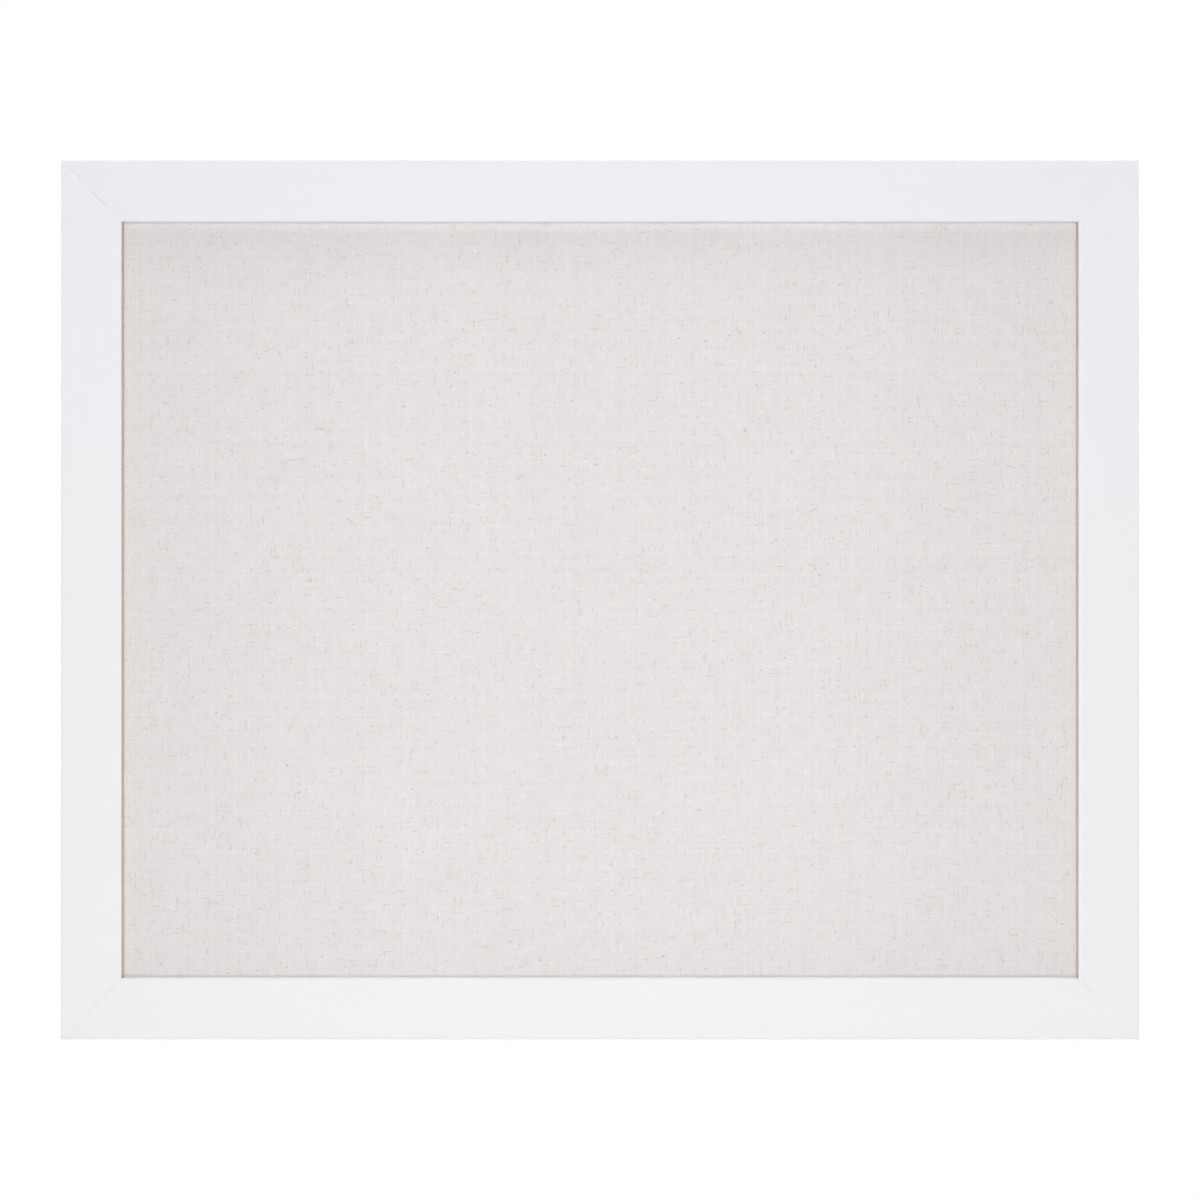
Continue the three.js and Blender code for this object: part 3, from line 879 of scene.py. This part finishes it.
def streaks_group():
    """Fine streaks along x, as in wood grain or rolled metal: noise stretched by a length and a width
    in millimetres."""
    inputs = {"Vector": None, "Length": 12.0, "Width": 0.8}
    tree, net, given, set_output = new_group("streaks", inputs, ["Streaks"])
    x, y, z = net.axes(given["Vector"])
    stretched = net.put("ShaderNodeCombineXYZ", {
        0: net.math("DIVIDE", x, given["Length"]),
        1: net.math("DIVIDE", y, given["Width"]),
        2: net.math("DIVIDE", z, given["Width"]),
    })
    set_output("Streaks", net.noise(stretched, 1.0, detail=3.0, roughness=0.55))
    return tree


def specks_group():
    """Scattered specks: round cells of a Voronoi pattern, of which only a share is kept. Size is in
    millimetres."""
    inputs = {"Vector": None, "Size": 1.0, "Share": 0.1}
    tree, net, given, set_output = new_group("specks", inputs, ["Specks"])
    scaled = net.scaled(given["Vector"], net.math("DIVIDE", 1.0, given["Size"]))
    cells = net.put("ShaderNodeTexVoronoi", {"Vector": scaled, "Scale": 1.0}).node
    chance, _, _ = net.channels(cells.outputs["Color"])
    chosen = net.math("LESS_THAN", chance, given["Share"])
    dot = net.span(cells.outputs["Distance"], 0.45, 0.15)
    set_output("Specks", net.times(dot, chosen))
    return tree


def yarns_group():
    """One set of a plain weave's threads. Along and Across are in millimetres; each thread has a
    number, a tone of its own, a domed profile and a lift that goes over and under."""
    inputs = {"Along": 0.0, "Across": 0.0, "Pitch": 0.6, "Seed": 0.0}
    tree, net, given, set_output = new_group("yarns", inputs, ["Tone", "Profile", "Lift"])
    place = net.math("DIVIDE", given["Across"], given["Pitch"])
    number = net.math("FLOOR", place)
    inside = net.math("FRACT", place)
    seeded = net.plus(number, given["Seed"])
    tone = net.put("ShaderNodeTexWhiteNoise", {"W": seeded}, noise_dimensions="1D")
    along = net.math("DIVIDE", given["Along"], given["Pitch"])
    phase = net.plus(along, net.math("SUBTRACT", number, 0.5))
    set_output("Tone", tone)
    set_output("Profile", net.math("SINE", net.times(inside, math.pi)))
    set_output("Lift", net.math("COSINE", net.times(phase, math.pi)))
    return tree


SLUB_ROW_SHIFT = 31.0


def slubs_group():
    """Thick places in single threads: cells in rows one slub wide, of which a share holds a spindle of
    random length. Mask is 1 on a spindle, Side runs from -1 to 1 across it, and Tone is random, from -1
    to 1, for each."""
    inputs = {"Along": 0.0, "Across": 0.0, "Width": 1.2, "Length": 9.0, "Share": 0.1, "Seed": 0.0}
    tree, net, given, set_output = new_group("slubs", inputs, ["Mask", "Side", "Tone"])
    place = net.math("DIVIDE", given["Across"], given["Width"])
    row = net.math("FLOOR", place)
    shift = net.put("ShaderNodeTexWhiteNoise", {"W": net.plus(row, given["Seed"])}, noise_dimensions="1D")
    along = net.math("DIVIDE", given["Along"], given["Length"])
    run = net.plus(along, net.times(shift, SLUB_ROW_SHIFT))
    cell = net.put("ShaderNodeCombineXYZ", {0: net.math("FLOOR", run), 1: row, 2: given["Seed"]})
    dice = net.put("ShaderNodeTexWhiteNoise", {"Vector": cell}, output=1, noise_dimensions="3D")
    chance, length, tone = net.channels(dice)
    reach = net.span(length, 0, 1, 0.18, 0.48, "LINEAR")
    off = net.math("DIVIDE", net.math("SUBTRACT", net.math("FRACT", run), 0.5), reach)
    inner = net.math("SUBTRACT", 1.0, net.times(off, off))
    taper = net.math("SQRT", net.math("MAXIMUM", inner, 0.0))
    side = net.muladd(net.math("FRACT", place), 2.0, -1.0)
    inside = net.span(net.math("SUBTRACT", taper, net.math("ABSOLUTE", side)), 0.0, 0.8)
    held = net.math("LESS_THAN", chance, given["Share"])
    set_output("Mask", net.times(inside, held))
    set_output("Side", side)
    set_output("Tone", net.muladd(tone, 2.0, -1.0))
    return tree


def new_material(name, **constants):
    """A material with one Principled shader whose constant sockets are set here. Returns it, its wiring
    and shader."""
    material = bpy.data.materials.new(name)
    material.use_nodes = True
    shader = material.node_tree.nodes["Principled BSDF"]
    for socket, value in constants.items():
        shader.inputs[socket.replace("_", " ")].default_value = value
    return material, Wiring(material.node_tree), shader


def object_mm(net):
    """Object coordinates in millimetres."""
    return net.scaled(net.put("ShaderNodeTexCoord", output=3), 1 / MM)


def flat_mm(net):
    """The piece's own UV map, in millimetres."""
    return net.scaled(net.put("ShaderNodeUVMap", uv_map="Flat"), 1 / MM)


STREAKS = streaks_group()
SPECKS = specks_group()
YARNS = yarns_group()
SLUBS = slubs_group()


def streaked(net, vector, length, width):
    """Streaks of a length and a width in millimetres, as a value about 0.5."""
    return net.part(STREAKS, {"Vector": vector, "Length": length, "Width": width})["Streaks"]


def specked(net, vector, size, share):
    """A mask of specks of a size in millimetres, in a share of all places."""
    return net.part(SPECKS, {"Vector": vector, "Size": size, "Share": share})["Specks"]


def wander(net, place, scale, reach):
    """A place moved about by up to half of reach, so that threads and flecks laid out on it aren't
    ruled straight."""
    drift = net.put("ShaderNodeTexNoise", {"Vector": place, "Scale": scale, "Detail": 1.0}, output=1)
    return net.vector("ADD", place, net.scaled(net.vector("SUBTRACT", drift, (0.5, 0.5, 0.5)), reach))


# Paint. Widths are in millimetres, round the section or across the mitre; CHIP_SETS holds (shift, tone).
# The whites of the four mouldings differ a little, and each turns cooler higher up the board:
# painted light, which also makes the bottom moulding the brightest.
RAIL_PAINTED_LIGHT_TONES = {
    "top": (srgb(239.1, 238.6, 242.6), srgb(239.1, 238.6, 242.6)),
    "right": (srgb(239.7, 239.3, 240.9), srgb(238.2, 238.4, 243.5)),
    "bottom": (srgb(239.8, 239.7, 239.8), srgb(239.8, 239.7, 239.8)),
    "left": (srgb(240.3, 239.8, 240.7), srgb(239.9, 239.0, 243.4)),
}
PAINTED_LIGHT_HEIGHTS = (-60, 180)
# Painted shade on the sight edge's wall: how far a grey-brown tone darkens it on each side.
SIGHT_WALL_SHADE = {"top": 0.25, "right": 0.85, "bottom": 0.0, "left": 1.0}
SIGHT_SHADE_TONE = srgb(205, 197, 187)
PAINT_WRAP = 1.7
PAINT_UNDER_LIP = 0.6
JOINT_WIDTH = 0.6
JOINT_TONE = -0.13
STREAK_TONE = 0.006
PORE_TONE = -0.05
SIGHT_FADE = 1.2
PAINT_RAGGED = 0.9
PAINT_FADE = 0.3
SIGHT_SHADE_ENDS = (2, 1)
CHIP_REACH = 7.0
CHIP_SETS = ((0.0, 0.05), (50.0, -0.06))


def paint_material(name, painted_light_tones, sight_shade):
    """White satin paint over a close grain: faint streaks and pores along the moulding. The second
    argument holds its colours low and high on the board, which carry painted light: the white is cooler
    towards the top. Each mitre shows a broken hairline and a few chips. A grey-brown painted shade darkens
    the sight edge's wall by the share that the third argument gives, and pale wood is bare from under the
    lip to the back's outer edge."""
    material, net, shader = new_material(name, Specular_IOR_Level=0.35)
    section, girth = moulding_section()
    depth, rise = section.T
    face_end = girth[:-1][depth > FACE - SIGHT_ROUND][0] / MM
    lip_under = girth[:-1][(depth > RABBET) & (rise <= LIP_BACK)][0] / MM
    whole = girth[-1] / MM
    flat = flat_mm(net)
    _, around, _ = net.axes(flat)
    grain = streaked(net, flat, length=22.0, width=1.1)
    broad = streaked(net, flat, length=160.0, width=12.0)
    stretched = net.vector("MULTIPLY", flat, (0.3, 1.4, 1.0))
    pores = specked(net, stretched, size=1.6, share=0.012)
    peel = net.noise(flat, 0.9, detail=1.0)
    faint = [net.span(streak, 0.2, 0.8, -STREAK_TONE, STREAK_TONE, "LINEAR") for streak in (grain, broad)]
    level = net.plus(*faint, net.times(pores, PORE_TONE))

    place = object_mm(net)
    aside, _, up = net.axes(place)
    off_mitre = net.math("SUBTRACT", net.math("ABSOLUTE", aside), net.math("ABSOLUTE", up))
    off_mitre = net.math("ABSOLUTE", net.math("SUBTRACT", off_mitre, (HALF_WIDTH - HALF_HEIGHT) / MM))
    opened = net.span(net.noise(place, 0.08, detail=2.0), 0.57, 0.63)
    hairline = net.times(net.span(off_mitre, JOINT_WIDTH, JOINT_WIDTH / 4), opened)
    level = net.muladd(hairline, JOINT_TONE, level)
    for shift, tone in CHIP_SETS:
        shifted = wander(net, net.vector("ADD", place, (shift, 0, 0)), 0.9, 2.8)
        chips = specked(net, shifted, size=1.8, share=0.15)
        chips = net.times(chips, net.span(off_mitre, CHIP_REACH, CHIP_REACH / 3))
        level = net.muladd(chips, tone, level)
    # Painted light: the white turns from its low colour to a cooler high one up the board.
    painted = net.scaled(net.mix(net.span(up, *PAINTED_LIGHT_HEIGHTS), *painted_light_tones), net.plus(level, 1.0))

    # Painted shade: a grey-brown tone darkens the sight edge's wall, down to just before the lip's
    # underside.
    down_edge = net.span(around, face_end, face_end + SIGHT_FADE)
    before_back = net.span(around, *(lip_under + end for end in SIGHT_SHADE_ENDS))
    uneven = net.noise(flat, 0.05, detail=2.0)
    shown = net.span(uneven, 0.2, 0.8, 0.85 * sight_shade, 1.15 * sight_shade)
    painted = net.mix(net.times(down_edge, before_back, shown), painted, SIGHT_SHADE_TONE)

    rings = streaked(net, flat, length=140.0, width=3.2)
    fibres = streaked(net, flat, length=9.0, width=0.35)
    wood = net.mix(net.span(rings, 0.3, 0.7), srgb(221, 198, 164), srgb(201, 172, 133))
    wood = net.mix(net.span(fibres, 0.35, 0.75, 0, 0.35), wood, srgb(172, 138, 100))
    drift = net.span(net.noise(flat, 0.08, detail=4.0), 0.3, 0.7, -PAINT_RAGGED, PAINT_RAGGED, "LINEAR")
    ragged = net.plus(around, drift)
    first = lip_under + PAINT_UNDER_LIP
    last = whole - PAINT_WRAP
    bare = net.times(net.span(ragged, first, first + PAINT_FADE), net.span(ragged, last, last - PAINT_FADE))

    height = net.plus(net.times(grain, 0.6), net.times(peel, 0.25))
    height = net.math("SUBTRACT", height, net.times(pores, 0.6))
    height = net.plus(height, net.times(bare, net.muladd(fibres, 1.5, -2.0)))
    net.feed(shader, {
        "Base Color": net.mix(bare, painted, wood),
        "Roughness": net.plus(net.span(broad, 0.2, 0.8, 0.40, 0.48), net.times(bare, 0.3)),
        "Normal": net.bump(height, 0.03 * MM),
    })
    return material


# Linen, with lengths in millimetres. SLUB_SETS holds (width, length, share, depth of tone), KNOT_SETS
# (size, share, depth) and CLOUD_SETS (scale, depth). Each SHADE is painted shade towards the frame:
# (from, to, tone added at its end).
LINEN_TONE = srgb(238.0, 233.6, 232.3)
STRAW_TONE = srgb(230, 220, 198)
LINEN_PITCH = 0.62
YARN_TONE = 0.024
SLUB_SETS = ((1.0, 7.5, 0.09, 0.16), (0.75, 3.6, 0.15, 0.17))
KNOT_SETS = ((2.0, 0.007, 0.26), (1.3, 0.03, 0.10))
CLOUD_SETS = ((0.02, 0.008), (0.11, 0.014))
# Painted shade and highlight of the weave: the tone added in its hollows and on its crowns.
WEAVE_SHADE_AND_HIGHLIGHT = (-0.05, 0.01)
SIDE_SHADE = (90, SIGHT_X / MM, -0.044)
TOP_SHADE = (40, SIGHT_Z / MM, -0.005)
BOTTOM_SHADE = (-140, -SIGHT_Z / MM, -0.018)


def linen_material():
    """Pale natural linen: a plain weave with slubs both ways, each with a painted lit side and a painted
    shaded side, a few dark knots, threads of slightly different tone, soft clouds, painted shade in the
    weave's hollows, and painted shade that deepens the tone a little towards the frame."""
    material, net, shader = new_material("natural linen", Specular_IOR_Level=0.25, Roughness=0.92)
    flat = wander(net, wander(net, flat_mm(net), 0.03, 1.6), 0.5, 0.22)
    u, v, _ = net.axes(flat)
    warp = net.part(YARNS, {"Along": v, "Across": u, "Pitch": LINEN_PITCH, "Seed": 3.0})
    weft = net.part(YARNS, {"Along": u, "Across": v, "Pitch": LINEN_PITCH, "Seed": 411.0})
    over = net.times(warp["Profile"], net.muladd(warp["Lift"], 0.35, 0.65))
    under = net.times(weft["Profile"], net.muladd(weft["Lift"], -0.35, 0.65))
    weave = net.math("MAXIMUM", over, under)
    level = net.span(net.plus(warp["Tone"], weft["Tone"]), 0, 2, -YARN_TONE, YARN_TONE, "LINEAR")
    for scale, depth in CLOUD_SETS:
        clouds = net.noise(flat, scale, detail=2.0)
        level = net.plus(level, net.span(clouds, 0.3, 0.7, -depth, depth, "LINEAR"))
    raised = weave
    straw = 0.0
    for number, (width, length, share, depth) in enumerate(SLUB_SETS):
        for along, across, seed in ((v, u, 17.0), (u, v, 90.0)):
            slub = net.part(SLUBS, {
                "Along": along, "Across": across, "Width": width, "Length": length,
                "Share": share, "Seed": seed + 7.0 * number,
            })
            # Painted light and shade: a slub is lit on one side, shaded on the other, and has a random tone
            # too.
            shade = net.muladd(slub["Tone"], 0.7, -0.12)
            shade = net.muladd(slub["Side"], 0.7, shade)
            level = net.plus(level, net.times(shade, slub["Mask"], depth))
            dry = net.times(slub["Mask"], net.span(slub["Tone"], -0.2, -0.9))
            straw = net.math("MAXIMUM", straw, dry)
            raised = net.muladd(slub["Mask"], 0.5, raised)
    stretched = net.vector("MULTIPLY", flat, (0.8, 1.3, 1.0))
    for size, share, depth in KNOT_SETS:
        knots = specked(net, stretched, size, share)
        level = net.muladd(knots, -depth, level)
    # Painted shade in the weave's hollows, and a faint painted highlight on its crowns.
    level = net.plus(level, net.span(weave, 0.1, 0.9, *WEAVE_SHADE_AND_HIGHLIGHT))
    # Painted shade: the tone deepens towards the sides, the top and the bottom of the field.
    shades = ((net.math("ABSOLUTE", u), SIDE_SHADE), (v, TOP_SHADE), (v, BOTTOM_SHADE))
    for place, (start, end, amount) in shades:
        level = net.muladd(net.span(place, start, end), amount, level)
    yarn = net.mix(net.times(straw, 0.28), LINEN_TONE, STRAW_TONE)
    net.feed(shader, {
        "Base Color": net.scaled(yarn, net.plus(level, 1.0)),
        "Normal": net.bump(raised, 0.12 * MM, 0.6),
    })
    return material


def fibreboard_material():
    """Soft pin board: matted grey-brown fibres with pale and dark flecks."""
    material, net, shader = new_material("soft fibreboard", Roughness=0.95, Specular_IOR_Level=0.2)
    place = object_mm(net)
    felt = net.noise(place, 1.4, detail=6.0, roughness=0.7)
    flecks = specked(net, place, size=1.8, share=0.2)
    colour = net.mix(net.span(felt, 0.3, 0.7), srgb(196, 176, 146), srgb(160, 138, 108))
    colour = net.mix(net.times(flecks, 0.5), colour, srgb(120, 98, 72))
    net.feed(shader, {"Base Color": colour, "Normal": net.bump(felt, 0.2 * MM)})
    return material


# The screen's wires across and up, in millimetres
MESH_PITCHES = (1.6, 1.9)


def hardboard_material():
    """Hardboard's screen side: pressed brown fibre with the print of a wire mesh, dark flecks and paler
    clouds."""
    material, net, shader = new_material("brown hardboard", Specular_IOR_Level=0.35)
    place = object_mm(net)
    felt = net.noise(place, 0.6, detail=6.0, roughness=0.65)
    clouds = net.noise(place, 0.012, detail=3.0)
    flecks = specked(net, wander(net, place, 0.8, 3.0), size=1.4, share=0.12)
    x, _, z = net.axes(place)
    print_mask = net.times(*(
        net.math("ABSOLUTE", net.math("SINE", net.times(axis, math.pi / pitch)))
        for axis, pitch in zip((x, z), MESH_PITCHES)
    ))
    colour = net.mix(net.span(felt, 0.3, 0.7), srgb(142, 104, 72), srgb(112, 78, 52))
    colour = net.mix(net.span(clouds, 0.3, 0.7, 0, 0.3), colour, srgb(150, 114, 82))
    colour = net.mix(net.times(flecks, 0.6), colour, srgb(74, 50, 34))
    height = net.muladd(print_mask, 0.6, net.times(felt, 0.5))
    net.feed(shader, {
        "Base Color": colour,
        "Roughness": net.span(felt, 0.3, 0.7, 0.62, 0.8),
        "Normal": net.bump(height, 0.12 * MM),
    })
    return material


def metal_material(name, tone, roughness, streak, stain):
    """Plated or plain steel: fine rolled streaks in its gloss, soft clouds in the plating and a few
    dull specks."""
    material, net, shader = new_material(name, Metallic=1.0)
    place = object_mm(net)
    rolled = streaked(net, place, length=6.0, width=0.25)
    clouds = net.noise(place, 0.5, detail=4.0)
    specks = specked(net, place, size=0.9, share=0.06)
    dull = net.muladd(specks, 0.5, net.span(clouds, 0.45, 0.7, 0, 0.6))
    colour = net.mix(net.times(dull, stain), tone, srgb(122, 120, 116))
    gloss = net.muladd(dull, 0.16, net.span(rolled, 0.3, 0.7, roughness, roughness + 0.1))
    normal = net.bump(rolled, 0.01 * MM * streak)
    net.feed(shader, {"Base Color": colour, "Roughness": gloss, "Normal": normal})
    return material


def rubber_material():
    """Pale soft polyurethane with a fine moulded texture and a little dust."""
    soft = {"IOR": 1.5, "Subsurface_Weight": 0.15, "Subsurface_Scale": 2 * MM}
    material, net, shader = new_material("soft bumper", **soft)
    place = object_mm(net)
    dust = net.noise(place, 1.2, detail=4.0)
    colour = net.mix(net.span(dust, 0.4, 0.7, 0, 0.5), srgb(230, 232, 229), srgb(222, 222, 218))
    net.feed(shader, {
        "Base Color": colour,
        "Roughness": net.span(dust, 0.35, 0.7, 0.38, 0.6),
        "Normal": net.bump(net.noise(place, 6.0, detail=2.0), 0.02 * MM),
    })
    return material


# Putting the pieces in place

def fit(piece, body, slot, material, *nodes):
    """Gives a piece its material, and lets it ride on a body in place of its CAD nodes. The slot is not
    used.
    """
    piece.data.materials.append(material)
    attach(piece, body)
    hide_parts(*nodes)


def nodes_named(start):
    """The names of the CAD nodes that begin so, in order."""
    return sorted(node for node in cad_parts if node.startswith(start))


def build_board():
    for number, (side, outward) in enumerate(SIDES.items()):
        node = f"rail_{side}" if outward[1] else f"stile_{side}"
        # Each moulding's white carries painted light, and its sight edge's wall carries painted shade.
        paint = paint_material(f"white paint {side}", RAIL_PAINTED_LIGHT_TONES[side], SIGHT_WALL_SHADE[side])
        fit(moulding(f"moulding_{side}", outward, number + 1), "frame", "frame_paint", paint, node)

    linen = linen_cover()
    fit(linen, "frame", "linen", linen_material(), "linen_cover")
    core = pin_core()
    fit(core, "frame", "fibreboard", fibreboard_material(), "pin_core")
    fit(backing_board(), "frame", "hardboard", hardboard_material(), "backing_board")

    nail_steel = metal_material("nail steel", srgb(150, 150, 154), 0.34, 1.0, 0.4)
    point_steel = metal_material("point steel", srgb(160, 161, 164), 0.32, 1.5, 0.5)
    for row in ("top", "bottom"):
        for column in ("left", "right"):
            for where in ("outer", "inner"):
                node = f"v_nail_{row}_{column}_{where}"
                fit(v_nail(node), "frame", "nail_steel", nail_steel, node)
    for side, outward in SIDES.items():
        for node in nodes_named(f"point_{side}_"):
            fit(framers_point(node, outward), "frame", "point_steel", point_steel, node)

    strip = metal_material("zinc strip", srgb(178, 180, 184), 0.3, 1.0, 0.35)
    wire = metal_material("zinc wire", srgb(186, 188, 192), 0.24, 0.6, 0.25)
    plated = metal_material("zinc screw", srgb(172, 174, 179), 0.28, 0.8, 0.3)
    for side in SIDES:
        fit(strap(side), "frame", "zinc_plate", strip, f"hanger_plate_{side}")
        fit(screw(side), "frame", "zinc_screw", plated, f"hanger_screw_{side}")
        fit(ring(side), f"ring_{side}", "zinc_wire", wire, f"hanger_ring_{side}")

    soft = rubber_material()
    for node in nodes_named("bumper_"):
        fit(bumper(node), "frame", "bumper", soft, node)


# The studio

FLOOR_Z = -1.7
FLOOR_NEAR = -6.0
FLOOR_FAR = 4.5
FLOOR_SIDE = 6.0
FLOOR_GLOW = 0.8
AMBIENT = 0.144

# Each light's name, place, size and share. A share is how bright the light alone would make a white face
# that is turned to it.
LIGHTS = (
    ("front", (0, -3.0, -0.2), (1.5, 2.0), 0.615),
    ("high", (0, -1.25, 2.6), (4.4, 1.0), 0.202),
    ("above", (0, -0.38, 2.6), (4.2, 0.6), 0.37),
    ("low", (0, -0.9, -1.45), (3.0, 0.4), 0.03),
    ("left side", (-2.4, 0.5, 0.6), (1.2, 1.2), 0.37),
    ("right side", (2.4, 0.5, 0.6), (1.2, 1.2), 0.37),
    ("upper back", (0.9, 1.9, 1.2), (2.2, 1.0), 0.38),
    ("low back", (-1.3, 1.9, -0.5), (1.4, 1.2), 0.25),
)


def make_camera():
    """Square on to the board, with the photograph's own framing at the plane of the frame's face."""
    span = 2 * HALF_WIDTH * PHOTO_SIDE_PX / BOARD_WIDTH_PX
    data = bpy.data.cameras.new("camera")
    data.sensor_width = SENSOR
    data.lens = SENSOR * VIEW_DISTANCE / span
    camera = bpy.data.objects.new("camera", data)
    camera.location = (0, -FRONT - VIEW_DISTANCE, 0)
    camera.rotation_euler = (math.pi / 2, 0, 0)
    bpy.context.scene.collection.objects.link(camera)
    bpy.context.scene.camera = camera


def make_world():
    """White where it is seen, directly or in a reflection, and a low even light elsewhere."""
    world = bpy.data.worlds.new("studio")
    bpy.context.scene.world = world
    world.use_nodes = True
    net = Wiring(world.node_tree)
    rays = net.nodes.new("ShaderNodeLightPath").outputs
    seen = net.math("MAXIMUM", rays["Is Camera Ray"], rays["Is Glossy Ray"])
    seen = net.math("MAXIMUM", seen, rays["Is Transmission Ray"])
    background = world.node_tree.nodes["Background"]
    net.feed(background, {"Color": (1, 1, 1, 1), "Strength": net.blend(seen, AMBIENT, 1.0)})


def make_floor():
    """A plain pale floor well below the board, outside the photograph's frame."""
    corners = ((-1, FLOOR_NEAR), (1, FLOOR_NEAR), (1, FLOOR_FAR), (-1, FLOOR_FAR))
    vertices = np.array([(side * FLOOR_SIDE, y, FLOOR_Z) for side, y in corners])
    floor = mesh_piece("floor", vertices, [[0, 1, 2, 3]], closed=False)
    material, net, shader = new_material("pale floor", Roughness=0.9)
    rays = net.nodes.new("ShaderNodeLightPath").outputs
    net.feed(shader, {
        "Base Color": srgb(240, 240, 240),
        "Emission Color": (1, 1, 1, 1),
        "Emission Strength": net.times(rays["Is Camera Ray"], FLOOR_GLOW),
    })
    floor.data.materials.append(material)


def softbox(name, place, size, share):
    """A rectangular light that faces the board. Its power is share times the square of pi times its
    distance."""
    light = bpy.data.lights.new(name, "AREA")
    light.shape = "RECTANGLE"
    light.size, light.size_y = size
    distance = math.sqrt(sum(v * v for v in place))
    light.energy = share * (math.pi * distance) ** 2
    lamp = bpy.data.objects.new(name, light)
    lamp.location = place
    back = np.array(place) / distance
    lamp.rotation_euler = (math.acos(back[2]), 0, math.atan2(back[0], -back[1]))
    lamp.visible_camera = False
    bpy.context.scene.collection.objects.link(lamp)


make_camera()
make_world()
make_floor()
for light in LIGHTS:
    softbox(*light)
build_board()
bpy.context.scene.view_settings.view_transform = "Standard"
